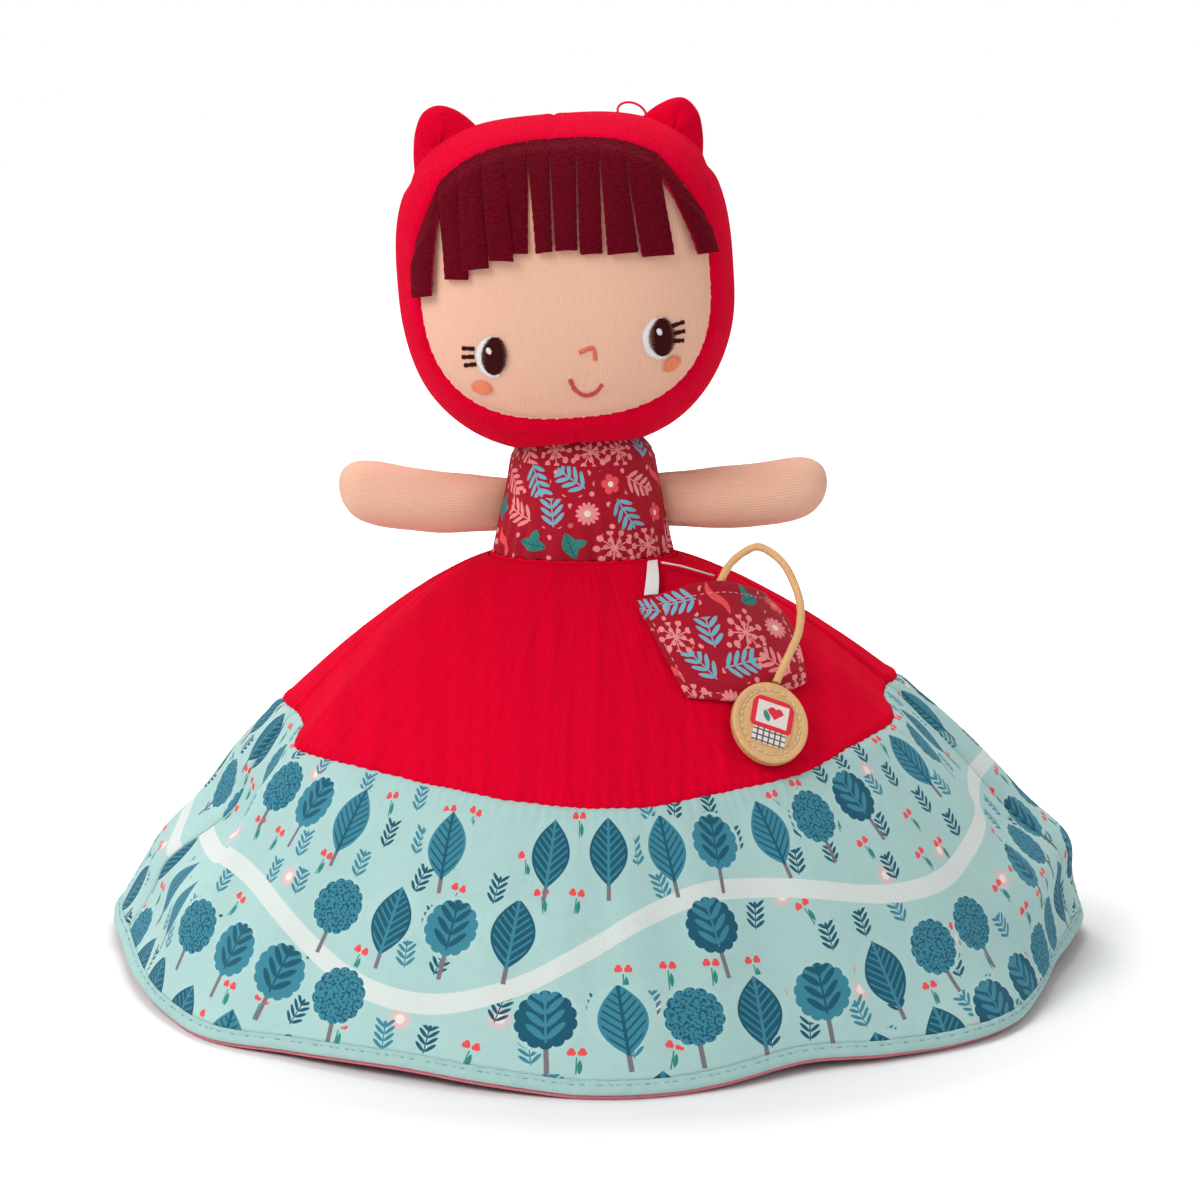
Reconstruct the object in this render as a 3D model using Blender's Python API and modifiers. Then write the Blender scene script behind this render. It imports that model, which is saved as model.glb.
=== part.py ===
"""Topsy turvy doll: two half dolls joined at the waist, with one reversible skirt between them.

The upper doll shows. The lower doll stands on its crown under the skirt, upside down. Lengths are in
metres, +Z is up, the doll looks along -Y, and the origin is on the floor under the lower doll's crown.
"""
import math

import bmesh
import bpy
from mathutils import Matrix
from mathutils import Vector
from mathutils.bvhtree import BVHTree

# Clearances and cloth
GAP = 0.0003
FILL_GAP = 0.0007
SHELL_THICKNESS = 0.0015
CLOTH_THICKNESS = 0.001
LINING_THICKNESS = 0.0008
LINING_GAP = 0.0011
CUT_OVERRUN = 0.02
SLANT_SHARE = 0.86

# Head of either doll
HEAD_WIDTH = 0.1105
HEAD_DEPTH = 0.082
HEAD_HEIGHT = 0.1105
HOOD_SIDE_RIM = 0.0072
HOOD_TOP_RIM = 0.0077
HOOD_CHIN_RIM = 0.0128
CROWN_POWER = 3.0
CHIN_POWER = 2.3
FULLNESS_POWER = 2.5
FACE_POWER = 2.6
HEAD_SIDES = 32
FACE_ROWS = 4
HOOD_FRONT_SHARES = (0.0, 0.66)
HOOD_BACK_SHARES = (0.0, 0.11, 0.30, 0.55, 0.80)
HEAD_LEAN = math.radians(-4.2)
CROWN_FLAT_DEPTH = 0.0005

# Neck joint: the head sits on a ball that turns on the torso's flat top
NECK_RISE = 0.0355
BALL_RADIUS = 0.0309
BALL_DROP = 0.0193
NECK_RADIUS = 0.0195
BALL_SIDES = 32
BALL_RINGS = 20
NECK_STEPS = 24
NECK_ARC_POINTS = 6

# Torso and bodice
WAIST_HALF_WIDTH = 0.0305
SHOULDER_HALF_WIDTH = 0.0235
TORSO_HALF_DEPTH = 0.0205
TORSO_SWELL = 0.0022
TORSO_SIDES = 24
TORSO_ROWS = 4
BODICE_THICKNESS = 0.0012
WAIST_BAND_HEIGHT = 0.0024
WAIST_BAND_WIDTH = 0.0014

# Arms
ARM_RISE = 0.020
ARM_LENGTH = 0.0535
ARM_HALF_HEIGHT = 0.0118
ARM_HALF_DEPTH = 0.0100
ARM_SIDES = 14
ARM_DROOP = math.radians(42)
ARM_BEND_SHARE = 0.32
ARM_STATION_SHARES = (0.0, 0.10, 0.24, 0.42, 0.62, 0.80, 0.91, 0.975)
ARM_HEIGHT_SHARES = (0.86, 0.88, 0.92, 0.97, 1.00, 0.96, 0.76, 0.42)
ARM_DEPTH_SHARES = (0.02, 0.42, 0.74, 0.93, 1.00, 0.98, 0.78, 0.42)

# Ears of the upper hood
EAR_HALF_WIDTH = 0.0115
EAR_HALF_DEPTH = 0.0062
EAR_HALF_HEIGHT = 0.0160
EAR_OUT_SHARE = 0.66
EAR_UP_SHARE = 0.79
EAR_LEAN = math.radians(24)
EAR_SIDES = 16
EAR_RINGS = 10

# Fringe of cut fleece strips
FRINGE_STRIPS = 12
FRINGE_THICKNESS = 0.0016
FRINGE_LIFT = 0.0008
FRINGE_TOP_HALF = 0.0425
FRINGE_LOW_HALF = 0.0475
FRINGE_LOW_RISE = 0.0100
FRINGE_END_DROP = 0.0075
FRINGE_BAND_DEPTH = 0.0075
FRINGE_SLIT = 0.0008
FRINGE_ROWS = 4

# Embroidery on the faces
STITCH_THICKNESS = 0.0007
STITCH_LIFT = 0.0003
EYE_HALF_WIDTH = 0.0048
EYE_HALF_HEIGHT = 0.0063
EYE_OUT = 0.0271
EYE_DROP = 0.0174
EYE_SHIFT = 0.0022
CHEEK_HALF_WIDTH = 0.0040
CHEEK_HALF_HEIGHT = 0.0023
CHEEK_OUT = 0.0307
CHEEK_DROP = 0.0273
NOSE_HALF_WIDTH = 0.0024
NOSE_HALF_HEIGHT = 0.0021
NOSE_DROP = 0.0204
MOUTH_HALF_WIDTH = 0.0054
MOUTH_HALF_HEIGHT = 0.0026
MOUTH_DROP = 0.0288
MOUTH_SHIFT = 0.0048
SMILE_WEIGHT_SHARE = 0.9
OVAL_POINTS = 16
BAR_POINTS = 8

# Thread loop on the crown of the upper hood
LOOP_WIDTH = 0.0100
LOOP_RISE = 0.0034
LOOP_THREAD = 0.0006
LOOP_OUT = 0.0235
LOOP_POINTS = 11

# Skirt: azimuth 0 is the front and grows towards +X
SKIRT_SECTORS = 60
SIDE_SEAM_SECTOR = 16
TIER_ROWS = 4
BAND_ROWS = 3
LINING_ROWS = 5
HEM_RADIUS = 0.175
HEM_LIFT = 0.006
HEM_REST_SHARE = 0.12
HEM_HEIGHT = 0.0065
FOLD_DEPTH = 0.007
FOLD_WIDTH = math.radians(11)
FOLD_AZIMUTHS = (-76, -93, 77, 93, 132, -135, 160, -158)
FOLD_SHARES = (0.75, -1.0, 0.8, -1.0, -0.7, -0.7, 0.7, 0.7)
FRONT_PROFILE_SHARES = ((0.25, 0.12), (0.68, 0.58))
SIDE_PROFILE_SHARES = ((0.30, 0.10), (0.85, 0.60))
LINING_TOP_SHARE = 0.06
PROFILE_STEP_SHARE = 0.02
FRONT_TIER_SHARE = 0.57
SIDE_TIER_SHARE = 0.47
HEM_AZIMUTHS = (-180, -165, -150, -135, -122, -110, -102, -93, -80, -67, -57, -44, -27, -12, 6,
                18, 33, 45, 60, 75, 85, 94, 104, 112, 124, 137, 152, 166)
HEM_REACH_SHARES = (0.850, 0.830, 0.895, 0.860, 0.950, 1.025, 0.985, 0.925, 0.880, 0.850, 0.830,
                    0.765, 0.735, 0.742, 0.760, 0.750, 0.735, 0.785, 0.850, 0.880, 0.920, 0.985,
                    1.055, 1.045, 0.960, 0.860, 0.900, 0.825)
HEM_LIFT_SHARES = (0.10, 0.35, 0.60, 0.10, 0.50, 0.95, 0.95, 0.75, 0.50, 0.20, 0.10,
                   0.35, 0.60, 0.40, 0.00, 0.20, 0.50, 0.25, 0.05, 0.35, 0.70, 0.95,
                   1.00, 0.95, 0.45, 0.10, 0.50, 0.35)

# Patch pocket, by azimuth in degrees and share of the skirt's own profile
POCKET_COLUMNS = 8
POCKET_ROWS = 5
POCKET_THICKNESS = 0.0014
POCKET_LIFT = 0.0006
POCKET_GAPE = 0.0074
POCKET_TOP_AZIMUTHS = (28, 80)
POCKET_LOW_AZIMUTHS = (32, 61)
POCKET_TOP_SHARES = (0.185, 0.215)
POCKET_LOW_SHARES = (0.386, 0.384)

# Ribbon tab in the waist seam
TAB_AZIMUTHS = (43, 51)
TAB_SHARES = (0.02, 0.14)
TAB_THICKNESS = 0.0006
TAB_LIFT = 0.0004
TAB_COLUMNS = 2
TAB_ROWS = 3

# Cord and charm
CORD_DIAMETER = 0.0028
CORD_SPACING = 0.0045
CHARM_HALF_WIDTH = 0.0130
CHARM_HALF_HEIGHT = 0.0145
CHARM_LAYER = 0.0014
CHARM_LIFT = 0.0040
CHARM_AZIMUTH = 48
CHARM_SHARE = 0.452
CHARM_TURN = math.radians(41)
CHARM_SIDES = 28
EMBLEM_HALF_WIDTH = 0.0074
EMBLEM_HALF_HEIGHT = 0.0088
EMBLEM_THICKNESS = 0.0007
CORD_ROUTE = (
    (0.0511, -0.0300, 0.1267),
    (0.0489, -0.0288, 0.1291),
    (0.0460, -0.0279, 0.1325),
    (0.0448, -0.0262, 0.1380),
    (0.0480, -0.0222, 0.1445),
    (0.0535, -0.0205, 0.1492),
    (0.0589, -0.0220, 0.1509),
    (0.0663, -0.0270, 0.1458),
    (0.0709, -0.0330, 0.1354),
    (0.0706, -0.0370, 0.1263),
    (0.0673, -0.0395, 0.1186),
    (0.0646, -0.0423, 0.1136),
    (0.0627, -0.0456, 0.1103),
)
POINTS_IN_POCKET = 2

# Sizes worked out from the ones above
FACE_WIDTH = HEAD_WIDTH - 2 * HOOD_SIDE_RIM
FACE_HEIGHT = HEAD_HEIGHT - HOOD_TOP_RIM - HOOD_CHIN_RIM
FACE_RISE = (HOOD_CHIN_RIM - HOOD_TOP_RIM) / 2
WAIST_HEIGHT = NECK_RISE + HEAD_HEIGHT - CROWN_FLAT_DEPTH
BALL_RISE = NECK_RISE - BALL_DROP
HEAD_RISE = BALL_DROP + HEAD_HEIGHT / 2
SEAM_SLOPE_SHARE = (WAIST_HALF_WIDTH - SHOULDER_HALF_WIDTH) / NECK_RISE
STUFFING_INSET = SHELL_THICKNESS + FILL_GAP
BODICE_INSET = (BODICE_THICKNESS + GAP) / SLANT_SHARE
LAYER_DEPTH = CLOTH_THICKNESS + LINING_GAP + LINING_THICKNESS

# Colours: linear red, green, blue, then roughness
FINISHES = {
    "red_cotton": ((0.80, 0.005, 0.03), 0.85),
    "pink_cotton": ((0.82, 0.36, 0.42), 0.85),
    "skin_jersey": ((0.80, 0.48, 0.34), 0.85),
    "burgundy_fleece": ((0.10, 0.006, 0.018), 0.9),
    "honey_fleece": ((0.42, 0.20, 0.06), 0.9),
    "burgundy_print": ((0.32, 0.01, 0.03), 0.8),
    "rose_print": ((0.72, 0.30, 0.34), 0.8),
    "mint_print": ((0.42, 0.70, 0.66), 0.8),
    "fibre_fill": ((0.85, 0.85, 0.82), 0.95),
    "dark_thread": ((0.03, 0.01, 0.012), 0.6),
    "coral_thread": ((0.80, 0.16, 0.07), 0.6),
    "white_ribbon": ((0.80, 0.80, 0.80), 0.5),
    "tan_cord": ((0.68, 0.38, 0.16), 0.6),
    "tan_leather": ((0.66, 0.36, 0.17), 0.55),
    "emblem_print": ((0.85, 0.72, 0.68), 0.6),
}


def clear_scene():
    """Remove every object that the scene starts with."""
    for old in list(bpy.data.objects):
        bpy.data.objects.remove(old)


def new_collection(name):
    """Make a collection under the scene's own."""
    made = bpy.data.collections.new(name)
    bpy.context.scene.collection.children.link(made)
    return made


def finish_material(name):
    """Return the named finish, made the first time that it is asked for."""
    made = bpy.data.materials.get(name)
    if made:
        return made
    colour, roughness = FINISHES[name]
    made = bpy.data.materials.new(name)
    made.use_nodes = True
    shader = made.node_tree.nodes["Principled BSDF"]
    shader.inputs["Base Color"].default_value = (*colour, 1)
    shader.inputs["Roughness"].default_value = roughness
    shader.inputs["Metallic"].default_value = 0
    return made


def add_empty(name, parent, location, rotation=(0, 0, 0)):
    """Make an empty that carries the pieces of one moving body."""
    made = bpy.data.objects.new(name, None)
    bpy.context.scene.collection.objects.link(made)
    made.parent = parent
    made.location = location
    made.rotation_euler = rotation
    return made


def add_object(name, shape, finish, collection, parent=None, location=(0, 0, 0)):
    """Put a mesh or curve in the model under its parent, with its own material."""
    made = bpy.data.objects.new(name, shape)
    collection.objects.link(made)
    shape.materials.append(finish_material(finish))
    made.parent = parent
    made.location = location
    return made


def add_cutter(name, shape, collection, parent=None, location=(0, 0, 0)):
    """Put a cutter beside the model, drawn as wire and never rendered."""
    made = bpy.data.objects.new(name, shape)
    collection.objects.link(made)
    made.parent = parent
    made.location = location
    made.hide_render = True
    made.display_type = "WIRE"
    return made


def cut(piece, cutter):
    """Cut one piece by a closed cutter."""
    modifier = piece.modifiers.new("cut by " + cutter.name, "BOOLEAN")
    modifier.operation = "DIFFERENCE"
    modifier.solver = "EXACT"
    modifier.object = cutter


def thicken(piece, thickness, offset):
    """Give an open surface its wall: offset -1 grows it inwards and 0 both ways."""
    modifier = piece.modifiers.new("wall", "SOLIDIFY")
    modifier.thickness = thickness
    modifier.offset = offset
    modifier.use_even_offset = False
    return modifier


def finish_mesh(builder, name, centre):
    """Turn a bmesh into a smooth mesh whose faces look away from the centre."""
    builder.normal_update()
    outward = sum(f.normal.dot(f.calc_center_median() - centre) * f.calc_area() for f in builder.faces)
    if outward < 0:
        bmesh.ops.reverse_faces(builder, faces=builder.faces)
    shape = bpy.data.meshes.new(name)
    builder.to_mesh(shape)
    builder.free()
    shape.shade_smooth()
    return shape


def loft(name, rows, ring, centre=Vector()):
    """Skin rows of points into one surface. A row of one point is a pole, and a ring row closes."""
    builder = bmesh.new()
    made = [[builder.verts.new(point) for point in row] for row in rows]
    for upper, lower in zip(made, made[1:]):
        count = max(len(upper), len(lower))
        for i in range(count if ring else count - 1):
            j = (i + 1) % count
            if len(upper) == 1:
                corners = (upper[0], lower[i], lower[j])
            elif len(lower) == 1:
                corners = (upper[i], lower[0], upper[j])
            else:
                corners = (upper[i], lower[i], lower[j], upper[j])
            builder.faces.new(corners)
    return finish_mesh(builder, name, centre)


def closed_loft(name, rows, centre):
    """Skin ring rows and close both ends with flat caps."""
    builder = bmesh.new()
    made = [[builder.verts.new(point) for point in row] for row in rows]
    count = len(rows[0])
    for upper, lower in zip(made, made[1:]):
        for i in range(count):
            j = (i + 1) % count
            builder.faces.new((upper[i], lower[i], lower[j], upper[j]))
    builder.faces.new(made[0])
    builder.faces.new(made[-1])
    bmesh.ops.recalc_face_normals(builder, faces=builder.faces)
    return finish_mesh(builder, name, centre)


def turned(name, profile, steps, finish, collection, parent):
    """Turn a profile about Z. The profile runs down its outer side from axis to axis."""
    shape = bpy.data.meshes.new(name)
    edges = [(i, i + 1) for i in range(len(profile) - 1)]
    shape.from_pydata([(radius, 0, height) for radius, height in profile], edges, [])
    piece = add_object(name, shape, finish, collection, parent)
    screw = piece.modifiers.new("turn", "SCREW")
    screw.axis = "Z"
    screw.steps = steps
    screw.render_steps = steps
    screw.use_merge_vertices = True
    screw.merge_threshold = 0.00001
    screw.use_smooth_shade = False
    return piece


def ball_cutter(name, radius, collection, parent, location=(0, 0, 0)):
    """A sphere that cuts the socket of the neck."""
    builder = bmesh.new()
    bmesh.ops.create_uvsphere(builder, u_segments=BALL_SIDES, v_segments=BALL_RINGS, radius=radius)
    shape = bpy.data.meshes.new(name)
    builder.to_mesh(shape)
    builder.free()
    return add_cutter(name, shape, collection, parent, location)


def box_mesh(name, low, high):
    """A box between two corners."""
    builder = bmesh.new()
    bmesh.ops.create_cube(builder, size=1)
    size = Vector(high) - Vector(low)
    bmesh.ops.scale(builder, vec=size, verts=builder.verts)
    bmesh.ops.translate(builder, vec=(Vector(low) + Vector(high)) / 2, verts=builder.verts)
    shape = bpy.data.meshes.new(name)
    builder.to_mesh(shape)
    builder.free()
    return shape


# Head surface, in a frame whose origin is the head's centre


def outline_share(x, z):
    """How far a front-view point lies from the centre to the head's outline: 1 is on the outline."""
    power = CROWN_POWER if z > 0 else CHIN_POWER
    across = (2 * abs(x) / HEAD_WIDTH) ** power
    upright = (2 * abs(z) / HEAD_HEIGHT) ** power
    return (across + upright) ** (1 / power)


def head_point(direction, lift=0):
    """The head's surface along a direction from its centre, lifted along that direction."""
    side = outline_share(direction.x, direction.z) ** FULLNESS_POWER
    front = (2 * abs(direction.y) / HEAD_DEPTH) ** FULLNESS_POWER
    reach = (side + front) ** (-1 / FULLNESS_POWER)
    return direction.normalized() * (direction.length * reach + lift)


def face_point(x, z, lift=0):
    """The point of the head's front at a front-view place, lifted away from the head's centre."""
    share = min(outline_share(x, z), 1)
    depth = HEAD_DEPTH / 2 * (1 - share ** FULLNESS_POWER) ** (1 / FULLNESS_POWER)
    point = Vector((x, -depth, z))
    return point + point.normalized() * lift


def face_seam(angle):
    """Front-view place of the seam between face and hood."""
    across = (2 * abs(math.cos(angle)) / FACE_WIDTH) ** FACE_POWER
    upright = (2 * abs(math.sin(angle)) / FACE_HEIGHT) ** FACE_POWER
    reach = (across + upright) ** (-1 / FACE_POWER)
    return reach * math.cos(angle), FACE_RISE + reach * math.sin(angle)


def head_angles():
    """Angles round the face, as seen from the front."""
    return [math.tau * i / HEAD_SIDES for i in range(HEAD_SIDES)]


def face_rows(edge_share, lift=0):
    """Rings of the face panel, from its middle to a share of the way to the seam."""
    rows = [[face_point(0, FACE_RISE, lift)]]
    for row in range(1, FACE_ROWS + 1):
        share = row / FACE_ROWS
        if row == FACE_ROWS:
            share = edge_share
        seams = [face_seam(angle) for angle in head_angles()]
        places = [(x * share, FACE_RISE + (z - FACE_RISE) * share) for x, z in seams]
        rows.append([face_point(x, z, lift) for x, z in places])
    return rows


def hood_rows(lift=0):
    """Rings of the hood, from the face's seam over the head's widest ring to the middle of the back."""
    starts = [face_point(*face_seam(angle)).normalized() for angle in head_angles()]
    widest = [Vector((start.x, 0, start.z)).normalized() for start in starts]
    back = Vector((0, 1, 0))
    rows = []
    for share in HOOD_FRONT_SHARES:
        rows.append([head_point(start.slerp(ring, share), lift) for start, ring in zip(starts, widest)])
    for share in HOOD_BACK_SHARES:
        rows.append([head_point(ring.slerp(back, share), lift) for ring in widest])
    rows.append([head_point(back, lift)])
    return rows


def moved(rows, offset):
    """The same rows of points, moved by an offset."""
    return [[point + offset for point in row] for row in rows]


def head_offset():
    """The head's centre as seen from the ball of the neck."""
    return Vector((0, 0, HEAD_RISE))


def make_head(prefix, finishes, pivot, collection, cutters, crown_cutter=None):
    """Stuffed head, face panel and hood, with the socket of the neck cut out of them."""
    offset = head_offset()
    socket = ball_cutter(prefix + "_socket_cutter", BALL_RADIUS + GAP, cutters, pivot)
    fill_rows = face_rows(1, -STUFFING_INSET) + hood_rows(-STUFFING_INSET)[1:]
    shape = loft(prefix + "_head", moved(fill_rows, offset), True, offset)
    stuffing = add_object(prefix + "_head", shape, "fibre_fill", collection, pivot)
    cut(stuffing, socket)
    seam_share = 1 - GAP / (FACE_WIDTH / 2)
    shell_rows = face_rows(seam_share, -SHELL_THICKNESS) + face_rows(seam_share)[::-1]
    shape = loft(prefix + "_face_panel", moved(shell_rows, offset), True, offset)
    add_object(prefix + "_face_panel", shape, finishes["face"], collection, pivot)
    shell_rows = hood_rows(-SHELL_THICKNESS)[::-1] + hood_rows()
    shape = loft(prefix + "_hood", moved(shell_rows, offset), True, offset)
    hood = add_object(prefix + "_hood", shape, finishes["hood"], collection, pivot)
    cut(hood, socket)
    if crown_cutter:
        cut(hood, crown_cutter)


def make_ear(name, side, finish, pivot, collection, cutters):
    """A plump rounded ear, seated on the hood's upper corner."""
    builder = bmesh.new()
    bmesh.ops.create_uvsphere(builder, u_segments=EAR_SIDES, v_segments=EAR_RINGS, radius=1)
    bmesh.ops.scale(builder, vec=(EAR_HALF_WIDTH, EAR_HALF_DEPTH, EAR_HALF_HEIGHT), verts=builder.verts)
    lean = Matrix.Rotation(side * EAR_LEAN, 4, "Y")
    bmesh.ops.transform(builder, matrix=lean, verts=builder.verts)
    place = Vector((side * EAR_OUT_SHARE * HEAD_WIDTH / 2, 0, EAR_UP_SHARE * HEAD_HEIGHT / 2))
    place += head_offset()
    bmesh.ops.translate(builder, vec=place, verts=builder.verts)
    ear = add_object(name, finish_mesh(builder, name, place), finish, collection, pivot)
    rows = moved(face_rows(1, GAP / SLANT_SHARE) + hood_rows(GAP / SLANT_SHARE)[1:], head_offset())
    shape = loft(name + "_cutter", rows, True, head_offset())
    cut(ear, add_cutter(name + "_cutter", shape, cutters, pivot))


def fringe_edges(strip):
    """Front-view x at the top and bottom of a strip's two edges."""
    slit_top = FRINGE_SLIT / 2
    top = [FRINGE_TOP_HALF * (2 * (strip + k) / FRINGE_STRIPS - 1) for k in (0, 1)]
    low = [FRINGE_LOW_HALF * (2 * (strip + k) / FRINGE_STRIPS - 1) for k in (0, 1)]
    return (top[0] + slit_top, low[0] + slit_top), (top[1] - slit_top, low[1] - slit_top)


def fringe_top(x):
    """Height of the face seam over a front-view x, a little way inside it."""
    share = min(2 * abs(x) / FACE_WIDTH, 1)
    high = FACE_HEIGHT / 2 * (1 - share ** FACE_POWER) ** (1 / FACE_POWER)
    return FACE_RISE + high - FRINGE_LIFT


def fringe_low(x):
    """Height of the strips' cut ends."""
    return FRINGE_LOW_RISE - FRINGE_END_DROP * (x / FRINGE_LOW_HALF) ** 2


def make_fringe(prefix, finish, pivot, collection):
    """A comb of fleece strips, joined along the seam at the top of the face."""
    builder = bmesh.new()
    offset = head_offset()
    lift = STITCH_LIFT + FRINGE_LIFT + FRINGE_THICKNESS
    columns = []
    for strip in range(FRINGE_STRIPS):
        for top_x, low_x in fringe_edges(strip):
            high = fringe_top(top_x)
            low = min(fringe_low(low_x), high - 2 * FRINGE_BAND_DEPTH)
            band = high - FRINGE_BAND_DEPTH
            heights = [high] + [band + (low - band) * k / (FRINGE_ROWS - 1) for k in range(FRINGE_ROWS)]
            column = []
            for height in heights:
                share = (high - height) / (high - low)
                x = top_x + (low_x - top_x) * share
                column.append(builder.verts.new(face_point(x, height, lift) + offset))
            columns.append(column)
    for index, (left, right) in enumerate(zip(columns, columns[1:])):
        rows = FRINGE_ROWS if index % 2 == 0 else 1
        for row in range(rows):
            builder.faces.new((left[row], left[row + 1], right[row + 1], right[row]))
    name = prefix + "_fringe"
    fringe = add_object(name, finish_mesh(builder, name, offset), finish, collection, pivot)
    thicken(fringe, FRINGE_THICKNESS, -1)


def make_patch(name, outline, finish, pivot, collection):
    """A thin embroidered patch that follows the face inside a closed front-view outline."""
    offset = head_offset()
    lift = STITCH_LIFT + STITCH_THICKNESS
    middle_x = sum(x for x, z in outline) / len(outline)
    middle_z = sum(z for x, z in outline) / len(outline)
    rows = [[face_point(middle_x, middle_z, lift) + offset]]
    rows.append([face_point(x, z, lift) + offset for x, z in outline])
    patch = add_object(name, loft(name, rows, True, offset), finish, collection, pivot)
    thicken(patch, STITCH_THICKNESS, -1)


def oval(x, z, half_width, half_height):
    """Front-view outline of an oval."""
    turns = [math.tau * i / OVAL_POINTS for i in range(OVAL_POINTS)]
    return [(x + half_width * math.cos(turn), z + half_height * math.sin(turn)) for turn in turns]


def smile(x, z, half_width, half_height):
    """Front-view outline of a curved stroke, as wide at its middle as it is deep."""
    outline = []
    for edge, order in ((1, range(BAR_POINTS + 1)), (0, range(BAR_POINTS, -1, -1))):
        for i in order:
            along = 2 * i / BAR_POINTS - 1
            if edge == 0 and abs(along) == 1:
                continue
            sag = half_height * (1 - along * along)
            outline.append((x + half_width * along, z - sag * (1 + (1 - edge) * SMILE_WEIGHT_SHARE)))
    return outline


def make_embroidery(prefix, pivot, collection):
    """Eyes, cheeks, nose and mouth."""
    for side, word in ((-1, "left"), (1, "right")):
        eye = oval(EYE_SHIFT + side * EYE_OUT, -EYE_DROP, EYE_HALF_WIDTH, EYE_HALF_HEIGHT)
        make_patch(f"{prefix}_eye_{word}", eye, "dark_thread", pivot, collection)
        cheek = oval(EYE_SHIFT + side * CHEEK_OUT, -CHEEK_DROP, CHEEK_HALF_WIDTH, CHEEK_HALF_HEIGHT)
        make_patch(f"{prefix}_cheek_{word}", cheek, "coral_thread", pivot, collection)
    nose = oval(MOUTH_SHIFT, -NOSE_DROP, NOSE_HALF_WIDTH, NOSE_HALF_HEIGHT)
    make_patch(prefix + "_nose", nose, "coral_thread", pivot, collection)
    mouth = smile(MOUTH_SHIFT, -MOUTH_DROP, MOUTH_HALF_WIDTH, MOUTH_HALF_HEIGHT)
    make_patch(prefix + "_mouth", mouth, "coral_thread", pivot, collection)


# Torso, in a frame whose origin is the waist's centre and whose +Z points at the head


def torso_half_width(height):
    """Half the torso's width, which narrows straight up to the neck."""
    return WAIST_HALF_WIDTH - SEAM_SLOPE_SHARE * height


def torso_ring(height, inset):
    """One oval section of the torso, inset from the bodice's outside."""
    swell = TORSO_SWELL * math.sin(math.pi * height / NECK_RISE)
    half_width = torso_half_width(height) - inset
    half_depth = TORSO_HALF_DEPTH + swell - inset
    turns = [math.tau * i / TORSO_SIDES for i in range(TORSO_SIDES)]
    return [Vector((half_width * math.cos(t), half_depth * math.sin(t), height)) for t in turns]


def make_torso(prefix, finish, waist, collection):
    """Stuffed torso and the bodice round it."""
    low = WAIST_BAND_HEIGHT / 2 + GAP
    heights = [low + (NECK_RISE - low) * row / TORSO_ROWS for row in range(TORSO_ROWS + 1)]
    middle = Vector((0, 0, NECK_RISE / 2))
    fill = closed_loft(prefix + "_torso", [torso_ring(h, BODICE_INSET) for h in heights], middle)
    add_object(prefix + "_torso", fill, "fibre_fill", collection, waist)
    cover = loft(prefix + "_bodice", [torso_ring(h, 0) for h in heights], True, middle)
    bodice = add_object(prefix + "_bodice", cover, finish, collection, waist)
    thicken(bodice, BODICE_THICKNESS, -1)


def make_neck(prefix, finish, turn_empty, collection):
    """The ball that the head tilts on, flat underneath, where it turns on the torso."""
    low = NECK_RISE + GAP - BALL_RISE
    edge = math.asin(NECK_RADIUS / BALL_RADIUS)
    arc = [edge * i / NECK_ARC_POINTS for i in range(NECK_ARC_POINTS + 1)]
    profile = [(BALL_RADIUS * math.sin(a), BALL_RADIUS * math.cos(a)) for a in arc]
    profile += [(NECK_RADIUS, low), (0, low)]
    turned(prefix + "_neck", profile, NECK_STEPS, finish, collection, turn_empty)


def arm_rings(side, droop):
    """Sections of an arm, flat at the seam, swelling, and rounded at the hand."""
    rings = []
    middle = Vector()
    steps_to = 0
    shares = zip(ARM_STATION_SHARES, ARM_HEIGHT_SHARES, ARM_DEPTH_SHARES)
    for station, height_share, depth_share in shares:
        bend = droop * min((station + steps_to) / 2 / ARM_BEND_SHARE, 1)
        stride = (station - steps_to) * ARM_LENGTH
        middle = middle + stride * Vector((math.cos(bend), 0, math.sin(bend)))
        steps_to = station
        tilt = droop * min(station / ARM_BEND_SHARE, 1)
        lean = Vector((-math.sin(tilt), 0, math.cos(tilt)))
        hug = SEAM_SLOPE_SHARE * (1 - station)
        ring = []
        for i in range(ARM_SIDES):
            turn = math.tau * i / ARM_SIDES
            rise = height_share * ARM_HALF_HEIGHT * math.sin(turn)
            depth = depth_share * ARM_HALF_DEPTH * math.cos(turn)
            point = middle + rise * lean + Vector((-hug * rise, depth, 0))
            ring.append(Vector((side * point.x, point.y, point.z)))
        rings.append(ring)
    return rings


def make_arm(prefix, word, side, droop, waist, collection):
    """A stuffed arm, sewn in the bodice's side seam, which is the axis that it swings on."""
    seam_x = side * (torso_half_width(ARM_RISE) + GAP)
    body = add_empty(f"{prefix}_arm_{word}_seam", waist, (seam_x, 0, ARM_RISE))
    rings = arm_rings(side, droop)
    middle = sum((sum(ring, Vector()) / len(ring) for ring in rings), Vector()) / len(rings)
    name = f"{prefix}_arm_{word}"
    add_object(name, closed_loft(name, rings, middle), "skin_jersey", collection, body)


def make_half_doll(prefix, finishes, waist, lean, droop, collection, cutters, crown_cutter):
    """Everything from the waist to the crown of one doll."""
    make_torso(prefix, finishes["bodice"], waist, collection)
    turn = add_empty(prefix + "_neck_turn", waist, (0, 0, BALL_RISE))
    tilt = add_empty(prefix + "_head_tilt", turn, (0, 0, 0), (0, lean, 0))
    make_neck(prefix, finishes["bodice"], turn, collection)
    make_head(prefix, finishes, tilt, collection, cutters, crown_cutter)
    make_fringe(prefix, finishes["fringe"], tilt, collection)
    make_embroidery(prefix, tilt, collection)
    for word, side in (("left", -1), ("right", 1)):
        make_arm(prefix, word, side, droop, waist, collection)
    return tilt


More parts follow.
